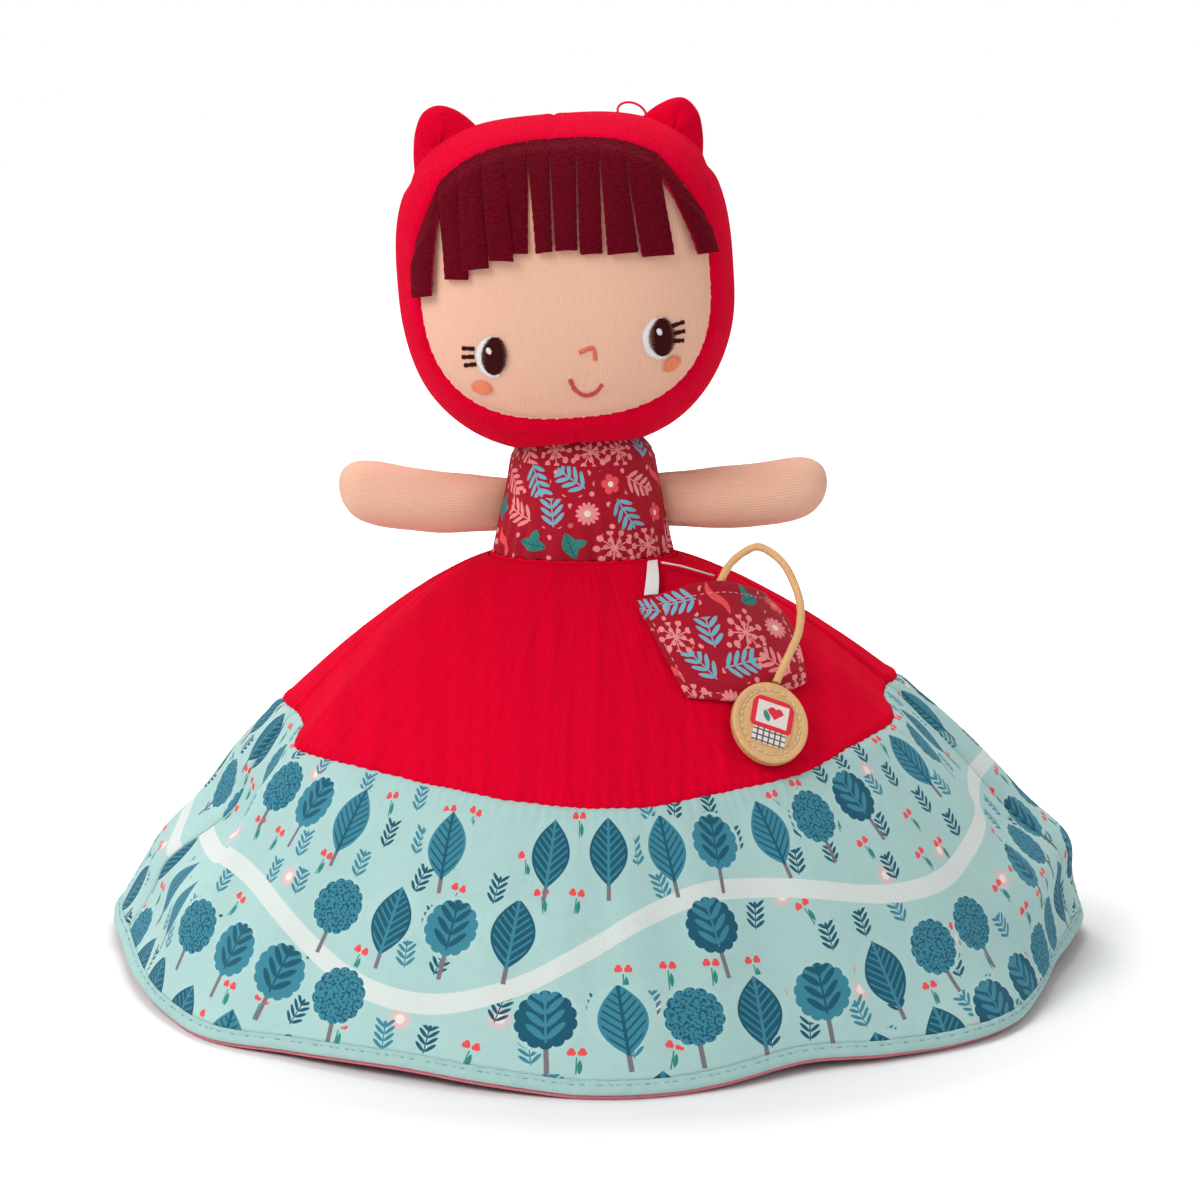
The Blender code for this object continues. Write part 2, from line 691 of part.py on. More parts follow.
def make_thread_loop(pivot, collection):
    """A thin loop of thread that stands on the crown."""
    shape = bpy.data.curves.new("crown_thread_loop", "CURVE")
    shape.dimensions = "3D"
    spline = shape.splines.new("POLY")
    spline.points.add(LOOP_POINTS - 1)
    hood = loft("crown_guide", moved(hood_rows(), head_offset()), True)
    crown = BVHTree.FromPolygons([v.co for v in hood.vertices], [p.vertices for p in hood.polygons])
    bpy.data.meshes.remove(hood)
    for i, point in enumerate(spline.points):
        turn = math.pi * i / (LOOP_POINTS - 1)
        x = LOOP_OUT - LOOP_WIDTH / 2 * math.cos(turn)
        seat = crown.ray_cast(Vector((x, 0, 2 * HEAD_HEIGHT)), Vector((0, 0, -1)))[0]
        point.co = (x, 0, seat.z + LOOP_THREAD + GAP + LOOP_RISE * math.sin(turn), 1)
    shape.bevel_depth = LOOP_THREAD / 2
    shape.bevel_resolution = 1
    shape.use_fill_caps = True
    add_object("crown_thread_loop", shape, "red_cotton", collection, pivot)


# Skirt, in the world's frame


def table_value(azimuth, azimuths, shares):
    """Smooth periodic reading of a table of shares by azimuth in degrees."""
    wrapped = (azimuth + 180) % 360 - 180
    count = len(azimuths)
    low = max(i for i in range(count) if azimuths[i] <= wrapped)
    places = [azimuths[(low + k) % count] + 360 * ((low + k) // count) for k in (-1, 0, 1, 2)]
    values = [shares[(low + k) % count] for k in (-1, 0, 1, 2)]
    span = places[2] - places[1]
    part = (wrapped - places[1]) / span
    rise_in = (values[2] - values[0]) / (places[2] - places[0]) * span
    rise_out = (values[3] - values[1]) / (places[3] - places[1]) * span
    square = part * part
    cube = square * part
    start = (2 * cube - 3 * square + 1) * values[1] + (cube - 2 * square + part) * rise_in
    return start + (3 * square - 2 * cube) * values[2] + (cube - square) * rise_out


def bezier(first, second, part):
    """A curve from 0 to 1 with two inner control values."""
    rest = 1 - part
    return 3 * rest * rest * part * first + 3 * rest * part * part * second + part ** 3


def fold_reach(azimuth, part):
    """How far the folds push the cloth out half way down the skirt."""
    total = 0
    for centre, share in zip(FOLD_AZIMUTHS, FOLD_SHARES):
        away = math.radians((azimuth - centre + 180) % 360 - 180)
        total += share * math.exp(-(away / FOLD_WIDTH) ** 2)
    return FOLD_DEPTH * total * 4 * part * part * (1 - part)


def waist_reach(azimuth):
    """Radius of the waist band's outside."""
    turn = math.radians(azimuth)
    across = math.sin(turn) / (WAIST_HALF_WIDTH + WAIST_BAND_WIDTH + GAP)
    along = math.cos(turn) / (TORSO_HALF_DEPTH + WAIST_BAND_WIDTH + GAP)
    return 1 / math.hypot(across, along)


def skirt_surface(azimuth, part):
    """A point of the skirt's outside. The part runs from 0 at the waist to 1 at the hem."""
    sideways = math.sin(math.radians(azimuth)) ** 2
    controls = []
    for front, side in zip(FRONT_PROFILE_SHARES, SIDE_PROFILE_SHARES):
        controls.append([f + (s - f) * sideways for f, s in zip(front, side)])
    out = bezier(controls[0][0], controls[1][0], part)
    down = bezier(controls[0][1], controls[1][1], part)
    start = waist_reach(azimuth)
    hem = HEM_RADIUS * table_value(azimuth, HEM_AZIMUTHS, HEM_REACH_SHARES)
    reach = start + (hem - start) * out + fold_reach(azimuth, part)
    raised = table_value(azimuth, HEM_AZIMUTHS, HEM_LIFT_SHARES) - HEM_REST_SHARE
    lift = HEM_LIFT * max(raised, 0)
    height = WAIST_HEIGHT - (WAIST_HEIGHT - lift) * down
    turn = math.radians(azimuth)
    return Vector((reach * math.sin(turn), -reach * math.cos(turn), height))


def skirt_point(azimuth, part, depth=0):
    """A point inside the skirt's outside by a depth, or out of it where the depth is negative."""
    after = skirt_surface(azimuth, min(part + PROFILE_STEP_SHARE, 1))
    before = skirt_surface(azimuth, max(part - PROFILE_STEP_SHARE, 0))
    round_it = skirt_surface(azimuth + 1, part) - skirt_surface(azimuth - 1, part)
    normal = (after - before).cross(round_it).normalized()
    return skirt_surface(azimuth, part) - depth * normal


def tier_share(azimuth):
    """Where the upper tier ends and the printed band starts."""
    sideways = math.sin(math.radians(azimuth)) ** 2
    return FRONT_TIER_SHARE + (SIDE_TIER_SHARE - FRONT_TIER_SHARE) * sideways


def hem_share(azimuth):
    """Where the hem starts."""
    length = (skirt_surface(azimuth, 1) - skirt_surface(azimuth, 1 - PROFILE_STEP_SHARE)).length
    return 1 - PROFILE_STEP_SHARE * HEM_HEIGHT / length


def gap_share(azimuth, part):
    """The clearance between two pieces, as a share of the profile."""
    length = (skirt_surface(azimuth, part + PROFILE_STEP_SHARE) - skirt_surface(azimuth, part)).length
    return PROFILE_STEP_SHARE * GAP / length


def panel(name, first, last, bounds, rows, depth, thickness, finish, collection):
    """One panel of the skirt between two sectors. Bounds gives its top and bottom share."""
    columns = []
    for sector in range(first, last + 1):
        azimuth = 360 * sector / SKIRT_SECTORS
        top, low = bounds(azimuth)
        column = []
        for row in range(rows + 1):
            part = top + (low - top) * row / rows
            reach = skirt_surface(azimuth, part).xy.length
            seam = math.degrees(GAP / 2 / reach)
            shift = seam if sector == first else -seam if sector == last else 0
            column.append(skirt_point(azimuth + shift, part, depth + thickness / 2))
        columns.append(column)
    shape = loft(name, columns, False, Vector((0, 0, 0)))
    sheet = add_object(name, shape, finish, collection)
    thicken(sheet, thickness, 0)


def tier_bounds(azimuth):
    """Top and bottom of the upper tier."""
    return gap_share(azimuth, 0), tier_share(azimuth)


def band_bounds(azimuth):
    """Top and bottom of the printed band."""
    top = tier_share(azimuth)
    low = hem_share(azimuth)
    return top + gap_share(azimuth, top), low - gap_share(azimuth, low)


def lining_bounds(azimuth):
    """Top and bottom of the lining."""
    low = hem_share(azimuth)
    return LINING_TOP_SHARE, low - gap_share(azimuth, low)


def make_skirt(collection):
    """Upper tiers, printed bands and linings, each a front and a back panel."""
    seam = SIDE_SEAM_SECTOR
    sides = (("front", -seam, seam), ("back", seam, SKIRT_SECTORS - seam))
    lining_depth = CLOTH_THICKNESS + LINING_GAP
    for word, first, last in sides:
        panel(word + "_skirt_tier", first, last, tier_bounds, TIER_ROWS, 0, CLOTH_THICKNESS,
              "red_cotton", collection)
        panel(word + "_print_band", first, last, band_bounds, BAND_ROWS, 0, CLOTH_THICKNESS,
              "mint_print", collection)
        panel(word + "_lining", first, last, lining_bounds, LINING_ROWS, lining_depth, LINING_THICKNESS,
              "pink_cotton", collection)


def closed_ring(builder, sections, name):
    """Join four-cornered sections into a ring with neither start nor end."""
    for section, following in zip(sections, sections[1:] + sections[:1]):
        for i in range(4):
            j = (i + 1) % 4
            builder.faces.new((section[i], section[j], following[j], following[i]))
    bmesh.ops.recalc_face_normals(builder, faces=builder.faces)
    shape = bpy.data.meshes.new(name)
    builder.to_mesh(shape)
    builder.free()
    return shape


def make_hem(collection):
    """The folded hem that joins outside and lining, one closed ring."""
    builder = bmesh.new()
    rings = []
    for sector in range(SKIRT_SECTORS):
        azimuth = 360 * sector / SKIRT_SECTORS
        top = hem_share(azimuth)
        outer_low = skirt_surface(azimuth, 1)
        inward = Vector((-outer_low.x, -outer_low.y, 0)).normalized()
        corners = (
            skirt_surface(azimuth, top),
            outer_low,
            outer_low + inward * LAYER_DEPTH,
            skirt_point(azimuth, top, LAYER_DEPTH),
        )
        rings.append([builder.verts.new(corner) for corner in corners])
    add_object("hem_band", closed_ring(builder, rings, "hem_band"), "mint_print", collection)


def waist_oval(way, growth):
    """A point of the waist's oval, grown by a width."""
    return Vector((way.x * (WAIST_HALF_WIDTH + growth), way.y * (TORSO_HALF_DEPTH + growth), 0))


def make_waist_band(collection):
    """The ring of seam allowances that holds both bodices and the skirt."""
    builder = bmesh.new()
    rings = []
    for i in range(TORSO_SIDES):
        turn = math.tau * i / TORSO_SIDES
        way = Vector((math.cos(turn), math.sin(turn), 0))
        inner = waist_oval(way, -BODICE_INSET)
        outer = waist_oval(way, WAIST_BAND_WIDTH)
        low = Vector((0, 0, WAIST_HEIGHT - WAIST_BAND_HEIGHT / 2))
        high = Vector((0, 0, WAIST_HEIGHT + WAIST_BAND_HEIGHT / 2))
        corners = (inner + low, outer + low, outer + high, inner + high)
        rings.append([builder.verts.new(corner) for corner in corners])
    add_object("waist_band", closed_ring(builder, rings, "waist_band"), "red_cotton", collection)


def between(pair, part):
    """A value between two ends."""
    return pair[0] + (pair[1] - pair[0]) * part


def make_pocket(collection):
    """A patch pocket, sewn down at its sides and bottom, with its mouth gaping at the waist side."""
    columns = []
    for column in range(POCKET_COLUMNS + 1):
        across = column / POCKET_COLUMNS
        points = []
        for row in range(POCKET_ROWS + 1):
            down = row / POCKET_ROWS
            tops = between(POCKET_TOP_AZIMUTHS, across), between(POCKET_TOP_SHARES, across)
            lows = between(POCKET_LOW_AZIMUTHS, across), between(POCKET_LOW_SHARES, across)
            azimuth = between((tops[0], lows[0]), down)
            part = between((tops[1], lows[1]), down)
            gape = (POCKET_GAPE - POCKET_LIFT) * math.sin(math.pi * across) ** 2 * (1 - down) ** 2
            points.append(skirt_point(azimuth, part, -(POCKET_LIFT + gape + POCKET_THICKNESS / 2)))
        columns.append(points)
    pocket = add_object("pocket", loft("pocket", columns, False), "burgundy_print", collection)
    thicken(pocket, POCKET_THICKNESS, 0)


def make_ribbon_tab(collection):
    """A short ribbon tab that comes out of the waist seam and lies on the skirt."""
    columns = []
    for column in range(TAB_COLUMNS + 1):
        azimuth = between(TAB_AZIMUTHS, column / TAB_COLUMNS)
        parts = [between(TAB_SHARES, row / TAB_ROWS) for row in range(TAB_ROWS + 1)]
        columns.append([skirt_point(azimuth, p, -(TAB_LIFT + TAB_THICKNESS / 2)) for p in parts])
    tab = add_object("ribbon_tab", loft("ribbon_tab", columns, False), "white_ribbon", collection)
    thicken(tab, TAB_THICKNESS, 0)


def smooth_route(route, spacing):
    """Evenly spaced points on a smooth curve through a route's points."""
    knots = [Vector(point) for point in route]
    ends = [2 * knots[0] - knots[1], *knots, 2 * knots[-1] - knots[-2]]
    fine = []
    for before, start, end, after in zip(ends, ends[1:], ends[2:], ends[3:]):
        count = max(2, round((end - start).length / spacing))
        for i in range(count):
            t = i / count
            bend = 2 * before - 5 * start + 4 * end - after
            twist = 3 * start - before - 3 * end + after
            fine.append((2 * start + (end - before) * t + bend * t * t + twist * t ** 3) / 2)
    fine.append(knots[-1])
    return fine


def make_cord(body, collection):
    """The cord from inside the pocket to the charm."""
    points = smooth_route(CORD_ROUTE, CORD_SPACING)
    shape = bpy.data.curves.new("charm_cord", "CURVE")
    shape.dimensions = "3D"
    spline = shape.splines.new("POLY")
    spline.points.add(len(points) - 1)
    for target, point in zip(spline.points, points):
        target.co = (*(point - body.location), 1)
    shape.bevel_depth = CORD_DIAMETER / 2
    shape.bevel_resolution = 2
    shape.use_fill_caps = True
    add_object("charm_cord", shape, "tan_cord", collection, body)


def charm_frame():
    """Place and turn of the charm: it lies on the skirt, its long side up the slope."""
    middle = skirt_point(CHARM_AZIMUTH, CHARM_SHARE, -CHARM_LIFT)
    normal = (middle - skirt_point(CHARM_AZIMUTH, CHARM_SHARE)).normalized()
    higher = skirt_surface(CHARM_AZIMUTH, CHARM_SHARE - PROFILE_STEP_SHARE)
    slope = higher - skirt_surface(CHARM_AZIMUTH, CHARM_SHARE)
    across = slope.cross(normal).normalized()
    lying = Matrix((across, normal.cross(across), normal)).transposed().to_4x4()
    return lying @ Matrix.Rotation(-CHARM_TURN, 4, "Z"), middle


def oval_disc(name, half_width, half_height, low, high, sides, finish, body, collection):
    """An oval disc in the charm's own frame, between two heights over its middle."""
    builder = bmesh.new()
    bmesh.ops.create_cone(builder, cap_ends=True, segments=sides, radius1=1, radius2=1, depth=1)
    bmesh.ops.scale(builder, vec=(half_width, half_height, high - low), verts=builder.verts)
    bmesh.ops.translate(builder, vec=(0, 0, (high + low) / 2), verts=builder.verts)
    shape = bpy.data.meshes.new(name)
    builder.to_mesh(shape)
    builder.free()
    piece = add_object(name, shape, finish, collection, body)
    turn, middle = charm_frame()
    piece.matrix_local = Matrix.Translation(middle - body.location) @ turn
    return piece


def make_charm(body, collection):
    """Two layers of leather with an emblem on the front one."""
    half = CHARM_LAYER + GAP / 2
    oval_disc("charm_back", CHARM_HALF_WIDTH, CHARM_HALF_HEIGHT, -half, -GAP / 2, CHARM_SIDES,
              "tan_leather", body, collection)
    oval_disc("charm_front", CHARM_HALF_WIDTH, CHARM_HALF_HEIGHT, GAP / 2, half, CHARM_SIDES,
              "tan_leather", body, collection)
    top = half + GAP
    oval_disc("charm_emblem", EMBLEM_HALF_WIDTH, EMBLEM_HALF_HEIGHT, top, top + EMBLEM_THICKNESS,
              CHARM_SIDES, "emblem_print", body, collection)


def make_crown_cutter(cutters):
    """Cuts the lower hood's crown flat where the doll stands on it."""
    low = (-HEAD_WIDTH, -HEAD_WIDTH, -CUT_OVERRUN)
    high = (HEAD_WIDTH, HEAD_WIDTH, 0)
    return add_cutter("floor_cutter", box_mesh("floor_cutter", low, high), cutters)


def main():
    """Build the doll."""
    clear_scene()
    collection = new_collection("topsy_turvy_doll")
    cutters = new_collection("cutters")
    upper_waist = add_empty("upper_waist", None, (0, 0, WAIST_HEIGHT))
    lower_waist = add_empty("lower_waist", None, (0, 0, WAIST_HEIGHT), (0, math.pi, 0))
    upper = {"hood": "red_cotton", "face": "skin_jersey", "fringe": "burgundy_fleece",
             "bodice": "burgundy_print"}
    lower = {"hood": "pink_cotton", "face": "skin_jersey", "fringe": "honey_fleece",
             "bodice": "rose_print"}
    crown_cutter = make_crown_cutter(cutters)
    tilt = make_half_doll("upper", upper, upper_waist, HEAD_LEAN, 0, collection, cutters, None)
    make_half_doll("lower", lower, lower_waist, 0, ARM_DROOP, collection, cutters, crown_cutter)
    make_ear("upper_ear_left", -1, "red_cotton", tilt, collection, cutters)
    make_ear("upper_ear_right", 1, "red_cotton", tilt, collection, cutters)
    make_thread_loop(tilt, collection)
    make_waist_band(collection)
    make_skirt(collection)
    make_hem(collection)
    make_pocket(collection)
    make_ribbon_tab(collection)
    make_cord(add_empty("cord_hinge", None, CORD_ROUTE[POINTS_IN_POCKET]), collection)
    make_charm(add_empty("charm_hinge", None, CORD_ROUTE[-1]), collection)
    bpy.context.view_layer.update()


if __name__ == "__main__":
    main()
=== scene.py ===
"""Looks of a topsy turvy doll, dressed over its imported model.

Lengths are in metres, +Z is up and the doll looks along -Y. Each doll has a frame whose origin is the waist
and whose +Z points at that doll's head. Skirt places are an azimuth in degrees, 0 at the front and growing
towards +X, and a part of the way from the waist to the hem.
"""
import logging
import math
from dataclasses import dataclass
from enum import Enum
from typing import Callable, Sequence

import bmesh
import bpy
import numpy as np
from mathutils import Matrix, Vector, noise


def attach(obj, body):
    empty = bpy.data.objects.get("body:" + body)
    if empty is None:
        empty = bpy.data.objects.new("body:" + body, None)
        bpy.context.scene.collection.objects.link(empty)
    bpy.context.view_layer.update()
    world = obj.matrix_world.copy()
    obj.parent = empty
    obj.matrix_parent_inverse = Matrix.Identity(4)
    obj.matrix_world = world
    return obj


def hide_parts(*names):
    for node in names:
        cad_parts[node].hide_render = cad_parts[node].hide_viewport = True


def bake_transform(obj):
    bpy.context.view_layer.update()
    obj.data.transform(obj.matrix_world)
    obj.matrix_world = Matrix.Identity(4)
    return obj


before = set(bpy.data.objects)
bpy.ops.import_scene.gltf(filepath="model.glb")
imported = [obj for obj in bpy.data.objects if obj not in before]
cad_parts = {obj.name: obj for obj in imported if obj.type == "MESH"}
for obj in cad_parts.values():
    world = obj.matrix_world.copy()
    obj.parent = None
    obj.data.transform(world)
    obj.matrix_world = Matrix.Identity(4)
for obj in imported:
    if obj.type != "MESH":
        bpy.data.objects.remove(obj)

LOG = logging.getLogger("doll")
MM = 0.001
WAIST_HEIGHT = 0.1455
Colour = tuple[float, float, float]
Table = tuple[tuple[float, ...], ...]
Array = np.ndarray
Material = bpy.types.Material
Mesh = bpy.types.Mesh
Piece = bpy.types.Object
Tree = bpy.types.NodeTree


def srgb(red: int, green: int, blue: int) -> Colour:
    """Linear colour of an 8-bit screen colour."""
    return tuple((c / 255 / 12.92) if c < 11 else ((c / 255 + 0.055) / 1.055) ** 2.4 for c in (red, green,
                                                                                               blue))


class Dye(Enum):
    """Colours of the doll's cloths, threads and leather."""

    RED = srgb(238, 0, 46)
    PINK = srgb(236, 138, 150)
    SKIN = srgb(236, 186, 160)
    BURGUNDY = srgb(110, 8, 28)
    BURGUNDY_CUT = srgb(176, 18, 46)
    HONEY = srgb(178, 122, 62)
    HONEY_CUT = srgb(206, 152, 92)
    PRINT_RED = srgb(172, 8, 38)
    PRINT_ROSE = srgb(226, 142, 152)
    MINT = srgb(180, 217, 213)
    MINT_PALE = srgb(224, 232, 228)
    MINT_HEM = srgb(186, 223, 218)
    TEAL = srgb(62, 138, 158)
    TEAL_DARK = srgb(26, 90, 112)
    LEAF_GREEN = srgb(48, 140, 128)
    SKY = srgb(118, 182, 202)
    STEM = srgb(128, 118, 125)
    STEM_DARK = srgb(84, 74, 82)
    CORAL = srgb(244, 84, 88)
    NOSE = srgb(236, 116, 84)
    BLUSH = srgb(244, 148, 150)
    ROSE_GLOW = srgb(250, 188, 190)
    CREAM = srgb(248, 236, 226)
    WHITE = srgb(240, 238, 236)
    COCOA = srgb(60, 14, 16)
    SALMON = srgb(206, 76, 74)
    APRICOT = srgb(244, 142, 100)
    STRAW = srgb(226, 204, 166)
    TAN = srgb(224, 176, 120)
    TAN_DARK = srgb(186, 134, 78)


# Nodes and materials


class Signal:
    """A socket of a node tree that sums and comparisons can be written with."""

    def __init__(self, tree: Tree, socket: bpy.types.NodeSocket) -> None:
        """Keep the tree and the output socket."""
        self.tree = tree
        self.socket = socket

    def math(self, operation: str, *others: "Signal | float", clamp: bool = False) -> "Signal":
        """Put this value through a Math node.

        Args:
            operation: Name of the node's operation.
            others: Second and third operands.
            clamp: Whether the result is held between 0 and 1.

        Returns:
            The node's result.
        """
        node = self.tree.nodes.new("ShaderNodeMath")
        node.operation = operation
        node.use_clamp = clamp
        for index, value in enumerate((self, *others)):
            plug(self.tree, node.inputs[index], value)
        return Signal(self.tree, node.outputs[0])

    def __add__(self, other: "Signal | float") -> "Signal":
        """Sum."""
        return self.math("ADD", other)

    def __sub__(self, other: "Signal | float") -> "Signal":
        """Difference."""
        return self.math("SUBTRACT", other)

    def __rsub__(self, other: float) -> "Signal":
        """Difference from a number."""
        return self.math("MULTIPLY", -1.0) + other

    def __mul__(self, other: "Signal | float") -> "Signal":
        """Product."""
        return self.math("MULTIPLY", other)

    def __truediv__(self, other: "Signal | float") -> "Signal":
        """Quotient."""
        return self.math("DIVIDE", other)

    def __abs__(self) -> "Signal":
        """Size without sign."""
        return self.math("ABSOLUTE")

    __radd__ = __add__
    __rmul__ = __mul__

    def inside(self, softness: float = 0.12) -> "Signal":
        """A crisp mask, 1 where the value is over 0, with an edge of some softness."""
        return self.math("MULTIPLY_ADD", 1 / softness, 0.5, clamp=True)

    def between(self, low: float, high: float) -> "Signal":
        """One where the value lies between two others."""
        return (self - low).inside(0.001) * (high - self).inside(0.001)

    def over(self, other: "Signal | float") -> "Signal":
        """The larger of two values, or two masks together."""
        return self.math("MAXIMUM", other)

    def under(self, other: "Signal | float") -> "Signal":
        """The smaller of two values."""
        return self.math("MINIMUM", other)


Value = Signal | float | int | Dye | Sequence[float]
Signals = dict[str, Signal]


def plug(tree: Tree, socket: bpy.types.NodeSocket, value: Value) -> None:
    """Link a signal to a socket, or set the socket's own value."""
    if isinstance(value, Signal):
        tree.links.new(value.socket, socket)
    elif isinstance(value, Dye):
        socket.default_value = (*value.value, 1)
    elif isinstance(value, (tuple, list)) and socket.type == "RGBA":
        socket.default_value = (*value[:3], 1)
    else:
        socket.default_value = value


class Loom:
    """Adds nodes to a tree in short statements."""

    def __init__(self, tree: Tree) -> None:
        """Keep the tree."""
        self.tree = tree

    def add(self, kind: str, inputs: dict[str | int, Value], out: str | int = 0,
            **settings: object) -> Signal:
        """Add one node.

        Args:
            kind: Type name of the node.
            inputs: Values and signals by socket name or index.
            out: The output that is returned.
            settings: Properties of the node.

        Returns:
            The chosen output.
        """
        node = self.tree.nodes.new(kind)
        for key, value in settings.items():
            setattr(node, key, value)
        for key, value in inputs.items():
            plug(self.tree, node.inputs[key], value)
        return Signal(self.tree, node.outputs[out])

    def split(self, vector: Signal) -> tuple[Signal, Signal, Signal]:
        """The three components of a vector."""
        node = self.tree.nodes.new("ShaderNodeSeparateXYZ")
        plug(self.tree, node.inputs[0], vector)
        return tuple(Signal(self.tree, output) for output in node.outputs)

    def join(self, x: Value, y: Value = 0.0, z: Value = 0.0) -> Signal:
        """A vector of three values."""
        return self.add("ShaderNodeCombineXYZ", {0: x, 1: y, 2: z})

    def noise(self, vector: Signal, scale: Value, detail: float = 2.0) -> Signal:
        """Noise from 0 to 1."""
        return self.add("ShaderNodeTexNoise", {"Vector": vector, "Scale": scale, "Detail": detail})

    def tint(self, factor: Value, first: Value, second: Value) -> Signal:
        """Mix two colours."""
        inputs = {0: factor, 6: first, 7: second}
        return self.add("ShaderNodeMix", inputs, 2, data_type="RGBA")

    def use(self, group: Tree, inputs: dict[str, Value]) -> Signals:
        """Place a node group and return its outputs by name."""
        node = self.tree.nodes.new("ShaderNodeGroup")
        node.node_tree = group
        for key, value in inputs.items():
            plug(self.tree, node.inputs[key], value)
        return {output.name: Signal(self.tree, output) for output in node.outputs}


Drawing = Callable[..., Signals]


def group(**inputs: float | None) -> Callable[[Drawing], Drawing]:
    """Make a function that draws with signals into a shader group, built once and placed by each call.

    Args:
        inputs: Its inputs with their defaults, None for a vector.

    Returns:
        The decorator. What it gives takes a loom and values by input, and returns the outputs by name.
    """
    def wrap(draw: Drawing) -> Drawing:
        """Wrap one drawing function."""
        name = draw.__name__.removesuffix("_group")

        def build() -> Tree:
            """Build the group's tree."""
            tree = bpy.data.node_groups.new(name, "ShaderNodeTree")
            for key, default in inputs.items():
                kind = "NodeSocketVector" if default is None else "NodeSocketFloat"
                socket = tree.interface.new_socket(name=key.capitalize(), in_out="INPUT", socket_type=kind)
                if default is not None:
                    socket.default_value = default
            entry = tree.nodes.new("NodeGroupInput")
            given = {key: Signal(tree, entry.outputs[key.capitalize()]) for key in inputs}
            results = draw(Loom(tree), **given)
            for key in results:
                tree.interface.new_socket(name=key, in_out="OUTPUT", socket_type="NodeSocketFloat")
            leave = tree.nodes.new("NodeGroupOutput")
            for key, signal in results.items():
                plug(tree, leave.inputs[key], signal)
            return tree

        def place(loom: Loom, **values: Value) -> Signals:
            """Place the group in a material."""
            named = {key.capitalize(): value for key, value in values.items()}
            return loom.use(bpy.data.node_groups.get(name) or build(), named)
        return place
    return wrap


@group(vector=None, fineness=2200.0)
def pile_group(loom: Loom, vector: Signal, fineness: Signal) -> Signals:
    """Short nap of velour or fleece, with its brushed patches; its shade is painted shade and light that
    follow the nap's height.
    """
    fibres = loom.noise(vector, fineness, 3.0)
    patches = loom.noise(vector, fineness * 0.09, 2.0)
    # Shade tracks Height: random tone that is also painted shade on the low fibres and painted light on the
    # high ones.
    return {"Height": fibres * 0.7 + patches * 0.3, "Shade": fibres * 0.75 + patches * 0.25}


@group(vector=None, pitch=0.0005)
def weave_group(loom: Loom, vector: Signal, pitch: Signal) -> Signals:
    """Plain weave: threads that cross over and under, with painted shade where they dip."""
    u, v, _ = loom.split(vector)
    turn = pitch.math("POWER", -1.0) * math.pi
    across = (u * turn).math("SINE")
    along = (v * turn).math("SINE")
    over = (across * along).math("SIGN") * 0.5 + 0.5
    height = abs(across) * over + abs(along) * (1 - over)
    wander = loom.noise(vector, 220.0, 2.0)
    # Shade is half painted shade, darker where the threads dip, and half random tone.
    return {"Height": height, "Shade": height * 0.5 + wander * 0.5}


@group(vector=None, pitch=0.0007)
def knit_group(loom: Loom, vector: Signal, pitch: Signal) -> Signals:
    """Wales of a fine knit: columns of V stitches along v, with painted shade between them."""
    u, v, _ = loom.split(vector)
    count = pitch.math("POWER", -1.0)
    wander = loom.noise(vector, 300.0, 2.0) - 0.5
    column = abs((u * count + wander * 0.35).math("FRACT") - 0.5) * 2
    legs = ((v * count * 1.3 + column * 0.8).math("FRACT") - 0.5) * 2
    height = (1 - column * column) * 0.75 + (1 - legs * legs) * 0.25
    # Shade is mostly painted shade, darker between the wales and stitches, with some random tone.
    return {"Height": height, "Shade": height * 0.6 + wander * 0.4 + 0.2}


@group(x=0.0, y=0.0, wide=10.0, tall=10.0, jitter=1.0, turn=0.4, seed=0.0)
def scatter_group(loom: Loom, x: Signal, y: Signal, wide: Signal, tall: Signal, jitter: Signal,
                  turn: Signal, seed: Signal) -> Signals:
    """Staggered cells in millimetres, each with its own turn and random picks."""
    row = (y / tall).math("FLOOR")
    shifted = x / wide + row * 0.5
    column = shifted.math("FLOOR")
    seat = loom.join(column, row, seed)
    pick = loom.add("ShaderNodeTexWhiteNoise", {"Vector": seat}, 0, noise_dimensions="3D")
    other = loom.add("ShaderNodeTexWhiteNoise", {"Vector": seat, "W": 7.0}, 0, noise_dimensions="4D")
    x = (shifted - column - 0.5) * wide + (other - 0.5) * jitter
    y = (y / tall - row - 0.5) * tall + (pick - 0.5) * jitter
    angle = (other - 0.5) * turn
    cosine = angle.math("COSINE")
    sine = angle.math("SINE")
    home_x = (column - row * 0.5 + 0.5) * wide - (other - 0.5) * jitter
    home_y = (row + 0.5) * tall - (pick - 0.5) * jitter
    return {"X": x * cosine - y * sine, "Y": x * sine + y * cosine, "Pick": pick, "Tone": other,
            "Home X": home_x, "Home Y": home_y}


@group(x=0.0, y=0.0, length=10.0, width=5.0, vein=2.0)
def leaf_group(loom: Loom, x: Signal, y: Signal, length: Signal, width: Signal, vein: Signal) -> Signals:
    """An almond leaf on its stem, with its veins, standing along Y from its middle."""
    x = abs(x)
    share = y / length * 2
    body = width * 0.5 * (1 - share * share) - x
    comb = abs(((y - x * 0.9) / vein).math("FRACT") - 0.5) * vein
    side = (width * 0.028 - comb).inside(0.2) * (body - width * 0.06).inside(0.3)
    rib = (width * 0.035 - x).inside(0.2) * (1.0 - abs(share)).inside(0.1)
    stem = (width * 0.05 - x).inside(0.15) * (0.0 - y).inside(0.2)
    stem = stem * (length * 0.72 + y).inside(0.2)
    return {"Mask": body.inside(0.15), "Veins": side.over(rib), "Stem": stem}


